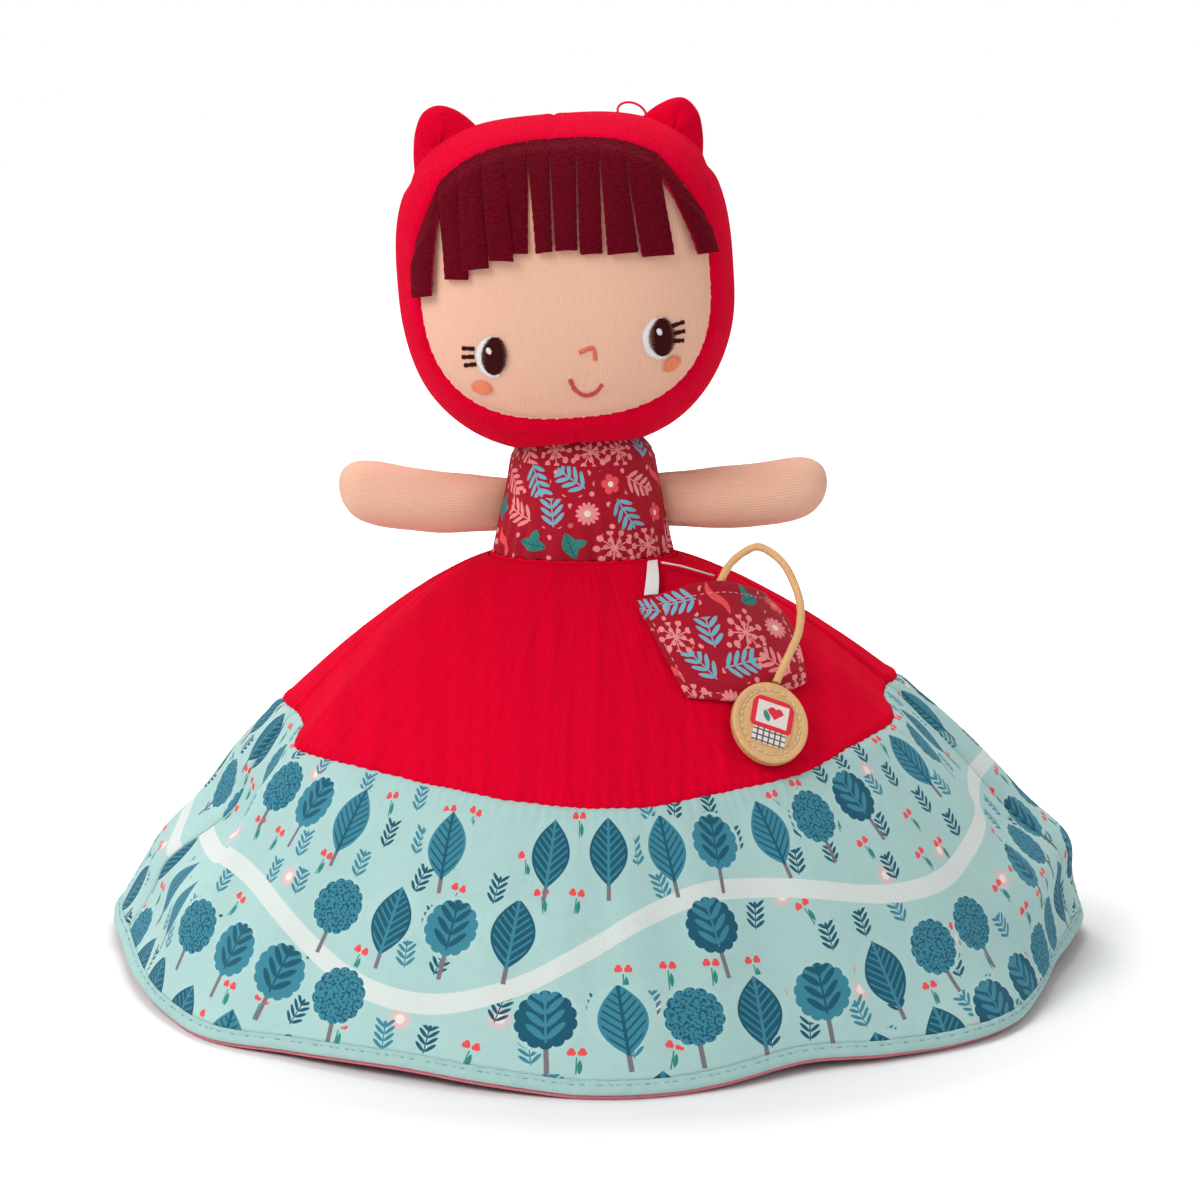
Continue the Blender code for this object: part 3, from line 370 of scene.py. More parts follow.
@group(x=0.0, y=0.0, radius=3.0, petals=5.0, depth=0.35)
def flower_group(loom: Loom, x: Signal, y: Signal, radius: Signal, petals: Signal,
                 depth: Signal) -> Signals:
    """A flower of rounded petals round its eye."""
    reach = (x * x + y * y).math("SQRT")
    turn = x.math("ARCTAN2", y) * petals * 0.5
    scallop = abs(turn.math("COSINE")).math("POWER", 0.6)
    petal = radius * (scallop * depth + (1 - depth)) - reach
    eye = radius * 0.28 - reach
    ray = (abs(turn.math("SINE")) - 0.55).inside(0.4) * (reach - radius * 0.35).inside(0.3)
    return {"Mask": petal.inside(0.15), "Eye": eye.inside(0.15), "Rays": ray, "Reach": reach}


@group(x=0.0, y=0.0, size=9.0)
def sprig_group(loom: Loom, x: Signal, y: Signal, size: Signal) -> Signals:
    """A stem with pairs of slim leaves and one at its tip."""
    x = abs(x)
    slope = (y - x * 0.8) / (size * 0.23)
    level = slope.math("FLOOR")
    near = (x - size * 0.17) / (size * 0.16)
    away = (slope - level - 0.5) * 3.0
    leaf = (1 - near * near - away * away).inside(0.3) * (level + 2.5).inside(0.1) * (1.5 - level).inside(0.1)
    high = (y - size * 0.42) / (size * 0.14)
    tip = 1 - high * high - (x / (size * 0.06)) * (x / (size * 0.06))
    stem = (size * 0.02 - x).inside(0.1) * (size * 0.42 - abs(y)).inside(0.2)
    return {"Mask": leaf.over(tip.inside(0.3)).over(stem)}


@group(x=0.0, y=0.0, size=12.0)
def spray_group(loom: Loom, x: Signal, y: Signal, size: Signal) -> Signals:
    """Two rings of berries on spokes."""
    reach = (x * x + y * y).math("SQRT")
    turn = x.math("ARCTAN2", y) / math.tau
    masks = []
    for count, ring, dot in ((9.0, 0.44, 0.085), (6.0, 0.22, 0.07)):
        arc = abs((turn * count).math("FRACT") - 0.5) * reach * (math.tau / count)
        gap = reach - size * ring
        berry = size * dot - (gap * gap + arc * arc).math("SQRT")
        spoke = (size * 0.018 - arc).inside(0.08) * (size * ring - reach).inside(0.1)
        masks.append(berry.inside(0.12).over(spoke))
    return {"Mask": masks[0].over(masks[1])}


class Cloth:
    """A material being made: its tree, its shader and its coordinates."""

    def __init__(self, name: str, roughness: float, sheen: float = 0.0, specular: float = 0.3,
                 bloom: Colour = (1.0, 1.0, 1.0)) -> None:
        """Start a material with a Principled shader.

        Args:
            name: Name of the material.
            roughness: Roughness of the surface.
            sheen: Weight of the nap's sheen.
            specular: Specular level.
            bloom: Tint of the sheen.
        """
        self.material = bpy.data.materials.new(name)
        self.material.use_nodes = True
        self.tree = self.material.node_tree
        self.loom = Loom(self.tree)
        self.shader = self.tree.nodes["Principled BSDF"]
        for key, value in (("Roughness", roughness), ("Specular IOR Level", specular),
                           ("Sheen Weight", sheen),
                           ("Sheen Roughness", 0.45), ("Sheen Tint", bloom)):
            plug(self.tree, self.shader.inputs[key], value)

    def place(self) -> Signal:
        """Object coordinates in metres."""
        return self.loom.add("ShaderNodeTexCoord", {}, "Object")

    def flat(self) -> Signal:
        """The piece's own flat coordinates in metres."""
        return self.loom.add("ShaderNodeUVMap", {}, 0, uv_map="UVMap")

    def printed(self, pitch: float) -> tuple[Signal, Signal, Signals]:
        """Flat coordinates in millimetres for a print, and the weave under it."""
        flat = self.flat()
        u, v, _ = self.loom.split(flat)
        return u * 1000.0, v * 1000.0, weave_group(self.loom, vector=flat, pitch=pitch)

    def done(self, tone: Signal, height: Signal, depth: float) -> Material:
        """End with a base colour and a height map whose full depth is in metres."""
        plug(self.tree, self.shader.inputs["Base Color"], tone)
        inputs = {"Height": height, "Distance": depth, "Strength": 1.0}
        plug(self.tree, self.shader.inputs["Normal"], self.loom.add("ShaderNodeBump", inputs))
        return self.material


def lit(dye: Dye) -> Colour:
    """The tint that a nap of this dye takes in raking light."""
    return tuple(min(c * 1.2 + 0.02, 1) for c in dye.value)


def dark(dye: Dye, share: float) -> Colour:
    """A dye's colour scaled by a share."""
    return tuple(min(c * share, 1) for c in dye.value)


@dataclass(frozen=True)
class PileFinish:
    """Brushed cloth: velour of the hoods or fleece of the fringes."""

    name: str
    dye: Dye
    fineness: float = 2600.0
    depth: float = 0.00035
    sheen: float = 0.5
    ribs: float = 0.0

    def make(self) -> Material:
        """Build the material."""
        cloth = Cloth(self.name, 0.92, self.sheen, 0.04, lit(self.dye))
        loom = cloth.loom
        place = cloth.place()
        pile = pile_group(loom, vector=place, fineness=self.fineness)
        # Painted shade and light: the nap is darker where it is low and lighter where it is high.
        tone = loom.tint(pile["Shade"], dark(self.dye, 0.45), dark(self.dye, 1.5))
        height = pile["Height"]
        if self.ribs:
            u, v, _ = loom.split(cloth.flat())
            ridge = loom.noise(loom.join(u * 520.0, v * self.ribs), 1.0, 3.0)
            height = height * 0.9 + ridge * 0.6
            # Painted shade: darker in the grooves between the ribs.
            tone = loom.tint((ridge - 0.5) * 2.2 + 0.6, dark(self.dye, 0.55), tone)
        return cloth.done(tone, height, self.depth)


@dataclass(frozen=True)
class GauzeFinish:
    """Plain woven cotton, crinkled where it is double gauze, with painted shade in the crinkles."""

    name: str
    dye: Dye
    pitch: float = 0.0006
    depth: float = 0.00016
    crinkle: float = 0.0
    straight: bool = False

    def make(self) -> Material:
        """Build the material."""
        cloth = Cloth(self.name, 0.9, 0.25, 0.04, lit(self.dye))
        loom = cloth.loom
        flat = cloth.flat()
        weave = weave_group(loom, vector=flat, pitch=self.pitch)
        # Painted shade between the threads of the weave, mixed with random tone.
        tone = loom.tint(weave["Shade"], dark(self.dye, 0.8), dark(self.dye, 1.12))
        height = weave["Height"]
        if self.crinkle:
            u, v, _ = loom.split(flat)
            checks = loom.noise(loom.join(u * 900.0, v * 620.0), 1.0, 2.0)
            if self.straight:
                u, _, v = loom.split(cloth.place())
                lines = loom.noise(loom.join(u * 150.0, v * 9.0), 1.0, 2.5)
            else:
                lines = loom.noise(loom.join(u * 110.0, v * 7.0), 1.0, 2.5)
            relief = lines * 0.6 + checks * 0.4
            # Painted shade: the cloth is darker in the valleys of its crinkles.
            tone = loom.tint((relief - 0.36) * self.crinkle * 3.0, dark(self.dye, 0.8), tone)
            height = height * 0.25 + relief * 1.5
        return cloth.done(tone, height, self.depth)


@dataclass(frozen=True)
class KnitFinish:
    """Fine jersey of the faces and arms."""

    name: str
    dye: Dye
    pitch: float = 0.00085
    depth: float = 0.00014

    def make(self) -> Material:
        """Build the material."""
        cloth = Cloth(self.name, 0.88, 0.22, 0.06)
        loom = cloth.loom
        knit = knit_group(loom, vector=cloth.flat(), pitch=self.pitch)
        # Painted shade between the wales, with random tone.
        tone = loom.tint(knit["Shade"], dark(self.dye, 0.9), dark(self.dye, 1.05))
        return cloth.done(tone, knit["Height"], self.depth)


@dataclass(frozen=True)
class ThreadFinish:
    """Glossy embroidery or sewing thread."""

    name: str
    dye: Dye
    roughness: float = 0.5
    gloss: float = 0.28

    def make(self) -> Material:
        """Build the material."""
        cloth = Cloth(self.name, self.roughness, 0.0, self.gloss)
        loom = cloth.loom
        place = cloth.place()
        x, y, z = loom.split(place)
        twist = ((x + y + z) * 9000.0).math("SINE") * 0.5 + 0.5
        fleck = loom.noise(place, 2400.0, 2.0)
        # Painted shade in the grooves of the twist, with random flecks.
        tone = loom.tint(twist * 0.4 + fleck * 0.6, dark(self.dye, 0.7), dark(self.dye, 1.15))
        return cloth.done(tone, twist, 0.00005)


@dataclass(frozen=True)
class DitsyFinish:
    """Small scattered leaves, flowers and dots on a coloured ground: bodices and pocket."""

    name: str
    ground: Dye
    cell: float = 12.5

    def make(self) -> Material:
        """Build the material."""
        cloth = Cloth(self.name, 0.8, 0.06, 0.18)
        loom = cloth.loom
        x, y, weave = cloth.printed(0.00045)
        # Painted shade between the threads of the weave, mixed with random tone.
        tone = loom.tint(weave["Shade"], dark(self.ground, 0.8), dark(self.ground, 1.15))
        dots = scatter_group(loom, x=x, y=y, wide=4.1, tall=3.6, jitter=1.3, seed=4.0)
        spot = (0.85 - (dots["X"] * dots["X"] + dots["Y"] * dots["Y"]).math("SQRT")).inside(0.15)
        tone = loom.tint(spot * (dots["Pick"] - 0.4).inside(0.01), tone, Dye.BLUSH)
        cell = scatter_group(loom, x=x, y=y, wide=self.cell, tall=self.cell * 0.86, jitter=2.0, turn=5.5,
                             seed=2.0)
        near = {"x": cell["X"], "y": cell["Y"]}
        clear = (self.cell * 0.46 - (cell["X"] * cell["X"] + cell["Y"] * cell["Y"]).math("SQRT")).inside(0.2)
        tone = loom.tint(clear, tone, self.ground)
        leaf = leaf_group(loom, **near, length=9.6, width=4.4, vein=1.7)
        twin = leaf_group(loom, x=cell["Y"], y=cell["X"] - 2.6, length=5.4, width=3.0, vein=9.0)
        daisy = flower_group(loom, **near, radius=3.9, petals=13.0, depth=0.42)
        bloom = flower_group(loom, **near, radius=3.4, petals=5.0, depth=0.4)
        sprig = sprig_group(loom, **near, size=12.0)
        spray = spray_group(loom, **near, size=12.5)
        bent = cell["X"] + (cell["Y"] * 0.5).math("SINE") * 1.1
        petal = (1.0 - abs(cell["Y"]) / 5.6).over(0.0).math("SQRT") * 1.5 - abs(bent)
        steps = (0.0, 0.13, 0.26, 0.4, 0.56, 0.8, 0.9, 1.01)
        chosen = [cell["Pick"].between(low, high) for low, high in zip(steps, steps[1:])]
        for kind, mask, dye in (
                (0, sprig["Mask"], Dye.SKY), (1, daisy["Mask"], Dye.BLUSH), (1, daisy["Eye"], Dye.CREAM),
                (2, leaf["Mask"], Dye.LEAF_GREEN), (2, twin["Mask"], Dye.LEAF_GREEN),
                (2, leaf["Veins"], Dye.TEAL_DARK), (3, petal.inside(0.2), Dye.CORAL),
                (4, spray["Mask"], Dye.BLUSH),
                (5, bloom["Mask"], Dye.CORAL), (5, bloom["Eye"], Dye.CREAM), (6, sprig["Mask"], Dye.BLUSH)):
            tone = loom.tint(chosen[kind] * mask, tone, dye)
        return cloth.done(tone, weave["Height"], 0.0001)


@dataclass(frozen=True)
class MeadowFinish:
    """Printed band: large leaves and blooms on stems, sprigs, tulips and soft dots on mint."""

    name: str
    ground: Dye
    drop: float = 13.0

    def ribbon(self, x: Signal) -> Signal:
        """Height of the pale ribbon that winds through the print."""
        return (x * 0.036).math("SINE") * 11.0 + (x * 0.017).math("SINE") * 10.0 - 138.0

    def off_ribbon(self, x: Signal, y: Signal, room: float) -> Signal:
        """One where a place keeps clear of the ribbon."""
        return (abs(y - self.ribbon(x)) - room).inside(0.001)

    def make(self) -> Material:
        """Build the material."""
        cloth = Cloth(self.name, 0.8, 0.06, 0.18)
        loom = cloth.loom
        x, y, weave = cloth.printed(0.00045)
        # Painted shade between the threads of the weave, mixed with random tone.
        tone = loom.tint(weave["Shade"], dark(self.ground, 0.88), dark(self.ground, 1.04))
        glow = scatter_group(loom, x=x, y=y, wide=37.0, tall=29.0, jitter=12.0, seed=9.0)
        flare = flower_group(loom, x=glow["X"], y=glow["Y"], radius=3.2, petals=12.0, depth=0.1)
        soft = (1.0 - flare["Reach"] / 3.9).over(0.0).math("POWER", 0.6)
        tone = loom.tint(soft * 0.95, tone, Dye.ROSE_GLOW)
        tone = loom.tint((1.5 - flare["Reach"]).inside(0.7), tone, Dye.CREAM)
        small = scatter_group(loom, x=x + 8.0, y=y, wide=14.0, tall=12.5, jitter=4.0, turn=0.6, seed=5.0)
        near = {"x": small["X"], "y": small["Y"]}
        sprig = sprig_group(loom, **near, size=9.5)
        bud = flower_group(loom, x=abs(small["X"]) - 1.5, y=small["Y"] - 1.6, radius=1.35, petals=3.0)
        leaf = leaf_group(loom, **near, length=8.4, width=4.4, vein=9.0)
        blade = leaf_group(loom, x=small["X"] - 0.9, y=small["Y"] + 3.0, length=4.6, width=1.5, vein=9.0)
        tulip = small["Pick"].between(0.52, 0.86)
        green = loom.tint((small["Tone"] - 0.5).inside(0.01), Dye.TEAL, Dye.TEAL_DARK)
        clear = self.off_ribbon(small["Home X"] - 8.0, small["Home Y"], 5.5)
        tulip = tulip * clear
        tone = loom.tint((0.52 - small["Pick"]).inside(0.001) * sprig["Mask"] * clear, tone, green)
        tone = loom.tint(tulip * leaf["Stem"].over(blade["Mask"]), tone, Dye.LEAF_GREEN)
        tone = loom.tint(tulip * bud["Mask"], tone, Dye.CORAL)
        big = scatter_group(loom, x=x, y=y + self.drop, wide=21.5, tall=27.0, jitter=3.0, turn=0.25, seed=1.0)
        tall = {"x": big["X"], "y": big["Y"] - 1.5}
        bush = leaf_group(loom, **tall, length=22.5, width=14.5, vein=2.7)
        high = {"x": big["X"], "y": big["Y"] - 3.5}
        crown = flower_group(loom, **high, radius=9.2, petals=14.0, depth=0.1)
        twig = sprig_group(loom, **high, size=17.0)
        fleck = loom.noise(loom.join(big["X"], big["Y"]), 0.95, 1.0)
        is_leaf = (0.4 - big["Pick"]).inside(0.001)
        is_crown = big["Pick"].between(0.4, 0.68)
        is_round = big["Pick"].between(0.68, 0.93)
        home = big["Home Y"] - self.drop
        clear = self.off_ribbon(big["Home X"], home, 9.5) * (-88.0 - home).inside(0.001)
        is_leaf, is_crown, is_round = (kind * clear for kind in (is_leaf, is_crown, is_round))
        motif = is_leaf.over(is_crown).over(is_round)
        tone = loom.tint(motif * (10.2 - crown["Reach"]).inside(0.5), tone, self.ground)
        tone = loom.tint((3.3 - abs(y - self.ribbon(x))).inside(0.3), tone, Dye.MINT_PALE)
        tone = loom.tint(motif * bush["Stem"], tone, Dye.STEM)
        pale = (big["Tone"] - 0.45).inside(0.001)
        shade = loom.tint(pale, Dye.TEAL, Dye.TEAL_DARK)
        tone = loom.tint(is_leaf * bush["Mask"], tone, shade)
        tone = loom.tint(is_leaf * bush["Veins"], tone, loom.tint(pale, Dye.TEAL_DARK, Dye.TEAL))
        swap = (big["Tone"] - 0.5).inside(0.001)
        tone = loom.tint(is_crown * crown["Mask"], tone, loom.tint(swap, Dye.TEAL_DARK, Dye.TEAL))
        tone = loom.tint(is_crown * crown["Mask"] * twig["Mask"], tone,
                         loom.tint(swap, Dye.TEAL, Dye.TEAL_DARK))
        tone = loom.tint(is_round * crown["Mask"], tone, Dye.TEAL)
        tone = loom.tint(is_round * crown["Mask"] * (fleck - 0.53).inside(0.04), tone, Dye.TEAL_DARK)
        return cloth.done(tone, weave["Height"], 0.0001)


@dataclass(frozen=True)
class LeatherFinish:
    """Soft leather of the charm and cord."""

    name: str
    dye: Dye
    fineness: float = 900.0

    def make(self) -> Material:
        """Build the material."""
        cloth = Cloth(self.name, 0.5, 0.0, 0.4)
        loom = cloth.loom
        place = cloth.place()
        grain = loom.add("ShaderNodeTexVoronoi", {"Vector": place, "Scale": self.fineness}, "Distance")
        mottle = loom.noise(place, 140.0, 4.0)
        tone = loom.tint(mottle, dark(self.dye, 0.8), dark(self.dye, 1.14))
        tone = loom.tint(grain * 0.35, tone, dark(self.dye, 0.6))
        plug(cloth.tree, cloth.shader.inputs["Roughness"], grain * 0.25 + 0.42)
        return cloth.done(tone, grain + mottle * 0.5, 0.00012)


@dataclass(frozen=True)
class EmblemFinish:
    """The charm's woven picture: a heart in a red frame over a checked strip."""

    name: str

    def make(self) -> Material:
        """Build the material."""
        cloth = Cloth(self.name, 0.6, 0.1, 0.3)
        loom = cloth.loom
        x, y, weave = cloth.printed(0.0003)
        line = (abs((x * 0.5).math("FRACT") - 0.5) - 0.37).inside(0.05)
        cross = (abs((y * 0.5).math("FRACT") - 0.5) - 0.37).inside(0.05)
        checks = loom.tint(line.over(cross), Dye.CREAM, Dye.STEM_DARK)
        frame_y = y - 2.6
        border = (7.2 - abs(x)).under(5.8 - abs(frame_y)).under(11.9 - abs(x) - abs(frame_y))
        window = (5.4 - abs(x)).under(4.1 - abs(frame_y)).inside(0.1)
        picture = loom.tint(border.inside(0.1), Dye.TAN, Dye.RED)
        picture = loom.tint(window, picture, Dye.CREAM)
        side = abs(x - 0.9)
        lobe = side - 1.15
        drop = y - 3.8
        round_top = 1.4 - (lobe * lobe + drop * drop).math("SQRT")
        point = (y - 0.8 - side).under(4.0 - y)
        heart = round_top.over(point).inside(0.15)
        picture = loom.tint(heart, picture, Dye.RED)
        leaf = leaf_group(loom, x=x + y * 0.4 + 1.2, y=y - 1.6, length=4.2, width=2.3, vein=4.0)
        picture = loom.tint(leaf["Mask"], picture, Dye.LEAF_GREEN)
        strip = (5.7 - abs(x)).under(2.7 - abs(y + 5.9)).inside(0.1)
        tone = loom.tint(strip, picture, checks)
        # Painted shade of the weave, with random tone, darkens the picture a little.
        tone = loom.tint(weave["Shade"] * 0.12, tone, Dye.STEM)
        return cloth.done(tone, weave["Height"], 0.00008)


# Meshes


def mesh_object(name: str, mesh: Mesh, material: Material) -> Piece:
    """Put a mesh in the scene with one material."""
    mesh.materials.clear()
    mesh.materials.append(material)
    piece = bpy.data.objects.new(name, mesh)
    bpy.context.scene.collection.objects.link(piece)
    return piece


def grid_mesh(name: str, points: Array, flat: Array | None = None, ring: bool = False) -> Mesh:
    """A surface over rows and columns of points, rows downwards and columns rightwards as seen from outside.

    Args:
        name: Name of the mesh.
        points: Array of rows, columns and coordinates.
        flat: Flat coordinates of the same rows, one column more where it is a ring.
        ring: Whether the last column joins the first.

    Returns:
        The mesh, with equal points merged.
    """
    rows, columns = points.shape[:2]
    span = columns if ring else columns - 1
    row, column = (index.ravel() for index in np.indices((rows - 1, span)))
    after = (column + 1) % columns
    corners = ((row, column), (row + 1, column), (row + 1, after), (row, after))
    quads = np.stack([r * columns + c for r, c in corners], -1)
    mesh = bpy.data.meshes.new(name)
    mesh.from_pydata(points.reshape(-1, 3).tolist(), [], quads.tolist())
    if flat is not None:
        wide = flat.shape[1]
        seats = ((row, column), (row + 1, column), (row + 1, column + 1), (row, column + 1))
        index = np.stack([r * wide + c for r, c in seats], -1).ravel()
        layer = mesh.uv_layers.new(name="UVMap")
        layer.data.foreach_set("uv", flat.reshape(-1, 2)[index].ravel())
    return clean(mesh, True, False)


def clean(mesh: Mesh, merge: bool, turn: bool) -> Mesh:
    """Tidy a mesh and shade it smooth.

    Args:
        mesh: The mesh.
        merge: Whether equal points are merged.
        turn: Whether the faces of a closed form are turned outwards.

    Returns:
        The same mesh.
    """
    builder = bmesh.new()
    builder.from_mesh(mesh)
    if merge:
        bmesh.ops.remove_doubles(builder, verts=builder.verts, dist=MM / 1000)
    if turn:
        bmesh.ops.recalc_face_normals(builder, faces=builder.faces)
    builder.to_mesh(mesh)
    builder.free()
    mesh.shade_smooth()
    return mesh


def outwards(mesh: Mesh, middle: Sequence[float]) -> Mesh:
    """Turn a surface's faces away from a point."""
    centre = Vector(middle)
    if sum(face.normal.dot(face.center - centre) * face.area for face in mesh.polygons) < 0:
        mesh.flip_normals()
    return mesh


def place_mesh(mesh: Mesh, place: Matrix) -> Mesh:
    """Move a mesh by a matrix."""
    mesh.transform(place)
    return mesh


def settle(piece: Piece) -> Piece:
    """Turn a piece's modifiers into plain mesh."""
    graph = bpy.context.evaluated_depsgraph_get()
    done = bpy.data.meshes.new_from_object(piece.evaluated_get(graph), preserve_all_data_layers=True,
                                           depsgraph=graph)
    piece.modifiers.clear()
    old = piece.data
    piece.data = done
    bpy.data.meshes.remove(old)
    return piece


def points_of(piece: Piece) -> Array:
    """Places of a piece's points."""
    points = np.empty(len(piece.data.vertices) * 3)
    piece.data.vertices.foreach_get("co", points)
    return points.reshape(-1, 3)


def thicken(piece: Piece, thickness: float, round_share: float = 0.0, corner: float = 50) -> None:
    """Give a cloth surface its thickness, inwards.

    Args:
        piece: The piece with an open surface.
        thickness: Thickness in metres.
        round_share: Share of the thickness that its edges are rounded by.
        corner: Least angle of a rounded edge in degrees.
    """
    wall = piece.modifiers.new("wall", "SOLIDIFY")
    wall.thickness = thickness
    wall.offset = -1
    if round_share:
        edge = piece.modifiers.new("edge", "BEVEL")
        edge.width = thickness * round_share
        edge.segments = 2
        edge.limit_method = "ANGLE"
        edge.angle_limit = math.radians(corner)


def tube_mesh(name: str, points: Sequence[Vector], radius: float, sides: int = 8) -> Mesh:
    """A round tube along points, with closed ends."""
    shape = bpy.data.curves.new(name, "CURVE")
    shape.dimensions = "3D"
    spline = shape.splines.new("POLY")
    spline.points.add(len(points) - 1)
    for target, point in zip(spline.points, points):
        target.co = (*point, 1)
    shape.bevel_depth = radius
    shape.bevel_resolution = sides // 4
    shape.use_fill_caps = True
    holder = bpy.data.objects.new(name, shape)
    bpy.context.scene.collection.objects.link(holder)
    graph = bpy.context.evaluated_depsgraph_get()
    mesh = bpy.data.meshes.new_from_object(holder.evaluated_get(graph))
    bpy.data.objects.remove(holder)
    bpy.data.curves.remove(shape)
    return clean(mesh, True, True)


def ripple(points: Array, size: float, seed: float) -> Array:
    """Smooth noise from -1 to 1 at points, with ripples of a size in metres."""
    shape = points.shape[:-1]
    offset = Vector((seed * 3.1, seed * 1.7, seed))
    values = [noise.noise(Vector(point) / size + offset) for point in points.reshape(-1, 3)]
    return np.array(values).reshape(shape)


def on_curve(before: Vector, start: Vector, end: Vector, after: Vector, share: float) -> Vector:
    """A place on the smooth curve that goes through four points, between the middle two."""
    bend = 2 * before - 5 * start + 4 * end - after
    twist = 3 * start - before - 3 * end + after
    return (2 * start + (end - before) * share + bend * share * share + twist * share ** 3) / 2


def smooth_route(route: Sequence[Sequence[float]], spacing: float) -> list[Vector]:
    """Evenly spaced points on a smooth curve through a route's points."""
    knots = [Vector(point) for point in route]
    ends = [2 * knots[0] - knots[1], *knots, 2 * knots[-1] - knots[-2]]
    fine = []
    for before, start, end, after in zip(ends, ends[1:], ends[2:], ends[3:]):
        count = max(2, round((end - start).length / spacing))
        fine += [on_curve(before, start, end, after, i / count) for i in range(count)]
    return fine + [knots[-1]]


# Geometry Nodes


class Pattern:
    """A Geometry Nodes tree with named inputs."""

    def __init__(self, name: str, inputs: dict[str, object]) -> None:
        """Start the tree.

        Args:
            name: Name of the tree.
            inputs: Defaults by name: a number, a whole number, or None for a material.
        """
        self.tree = bpy.data.node_groups.new(name, "GeometryNodeTree")
        self.loom = Loom(self.tree)
        kinds = {float: "NodeSocketFloat", int: "NodeSocketInt", type(None): "NodeSocketMaterial"}
        face = self.tree.interface
        face.new_socket(name="Geometry", in_out="INPUT", socket_type="NodeSocketGeometry")
        face.new_socket(name="Geometry", in_out="OUTPUT", socket_type="NodeSocketGeometry")
        self.keys = {}
        for key, default in inputs.items():
            socket = face.new_socket(name=key, in_out="INPUT", socket_type=kinds[type(default)])
            if default is not None:
                socket.default_value = default
            self.keys[key] = socket.identifier
        entry = self.tree.nodes.new("NodeGroupInput")
        self.given = {output.name: Signal(self.tree, output) for output in entry.outputs if output.name}
        self.leave = self.tree.nodes.new("NodeGroupOutput")

    def close(self, geometry: Signal, dressed: bool = True) -> None:
        """End the tree, with instances made real and the material set."""
        if dressed:
            geometry = self.loom.add("GeometryNodeRealizeInstances", {"Geometry": geometry})
            geometry = self.loom.add("GeometryNodeSetShadeSmooth", {"Geometry": geometry})
            inputs = {"Geometry": geometry, "Material": self.given["Material"]}
            geometry = self.loom.add("GeometryNodeSetMaterial", inputs)
        plug(self.tree, self.leave.inputs[0], geometry)

    def put_on(self, piece: Piece, values: dict[str, object]) -> None:
        """Add the tree to a piece as a modifier, with its inputs set."""
        modifier = piece.modifiers.new(self.tree.name, "NODES")
        modifier.node_group = self.tree
        for key, value in values.items():
            modifier[self.keys[key]] = value


def stitch_pattern() -> Pattern:
    """Thread stitches at an even pitch along a path."""
    pattern = Pattern("stitches", {"Pitch": 3 * MM, "Length": 2 * MM, "Thread": 0.2 * MM, "Turn": 0.0,
                                   "Stray": 0.0, "Material": None})
    loom, given = pattern.loom, pattern.given
    curve = loom.add("GeometryNodeMeshToCurve", {0: given["Geometry"]})
    resample = pattern.tree.nodes.new("GeometryNodeResampleCurve")
    plug(pattern.tree, resample.inputs["Curve"], curve)
    if "Mode" in resample.inputs:
        resample.inputs["Mode"].default_value = "Length"
    else:
        resample.mode = "LENGTH"
    plug(pattern.tree, resample.inputs["Length"], given["Pitch"])
    even = Signal(pattern.tree, resample.outputs[0])
    tangent = loom.add("GeometryNodeInputTangent", {})
    aim = loom.add("FunctionNodeAlignRotationToVector", {"Vector": tangent}, axis="X")
    slant = loom.add("FunctionNodeAxisAngleToRotation", {"Axis": (0.0, 1.0, 0.0), "Angle": given["Turn"]})
    turn = loom.add("FunctionNodeRotateRotation", {0: aim, 1: slant}, rotation_space="LOCAL")
    bead = loom.add("GeometryNodeMeshUVSphere", {"Segments": 8, "Rings": 6, "Radius": 1.0})
    stray = loom.add("FunctionNodeRandomValue", {2: 1.0 - given["Stray"], 3: 1.0, "Seed": 3}, 1,
                     data_type="FLOAT")
    size = loom.join(given["Length"] * 0.5 * stray, given["Thread"], given["Thread"])
    placed = loom.add("GeometryNodeInstanceOnPoints",
                      {"Points": even, "Instance": bead, "Rotation": turn, "Scale": size})
    pattern.close(placed)
    return pattern


def satin_pattern() -> Pattern:
    """Side by side threads that fill an oval, in a flat frame whose front is -Y."""
    pattern = Pattern("satin", {"Half Width": 5 * MM, "Half Height": 6 * MM, "Pitch": 0.35 * MM,
                                "Thread": 0.22 * MM, "Dome": 0.4 * MM, "Material": None})
    loom, given = pattern.loom, pattern.given
    count = (given["Half Height"] * 2 / given["Pitch"]).math("FLOOR")
    low = given["Half Height"] * -1.0 + given["Pitch"] * 0.5
    inputs = {"Count": count, "Start Location": loom.join(0.0, 0.0, low),
              "Offset": loom.join(0.0, 0.0, given["Pitch"])}
    line = loom.add("GeometryNodeMeshLine", inputs, mode="OFFSET")
    _, _, z = loom.split(loom.add("GeometryNodeInputPosition", {}))
    share = z / given["Half Height"]
    round_off = (1 - share * share).over(0.02).math("SQRT")
    rise = loom.join(0.0, given["Dome"] * round_off * -1.0)
    lifted = loom.add("GeometryNodeSetPosition", {"Geometry": line, "Offset": rise})
    bead = loom.add("GeometryNodeMeshUVSphere", {"Segments": 8, "Rings": 10, "Radius": 1.0})
    lying = loom.add("GeometryNodeTransform", {"Geometry": bead, "Rotation": (0.0, math.pi / 2, 0.0)})
    stray = loom.add("FunctionNodeRandomValue", {2: 0.88, 3: 1.0, "Seed": 5}, 1, data_type="FLOAT")
    size = loom.join(given["Half Width"] * round_off * stray, given["Thread"], given["Thread"])
    placed = loom.add("GeometryNodeInstanceOnPoints", {"Points": lifted, "Instance": lying, "Scale": size})
    pattern.close(placed)
    return pattern


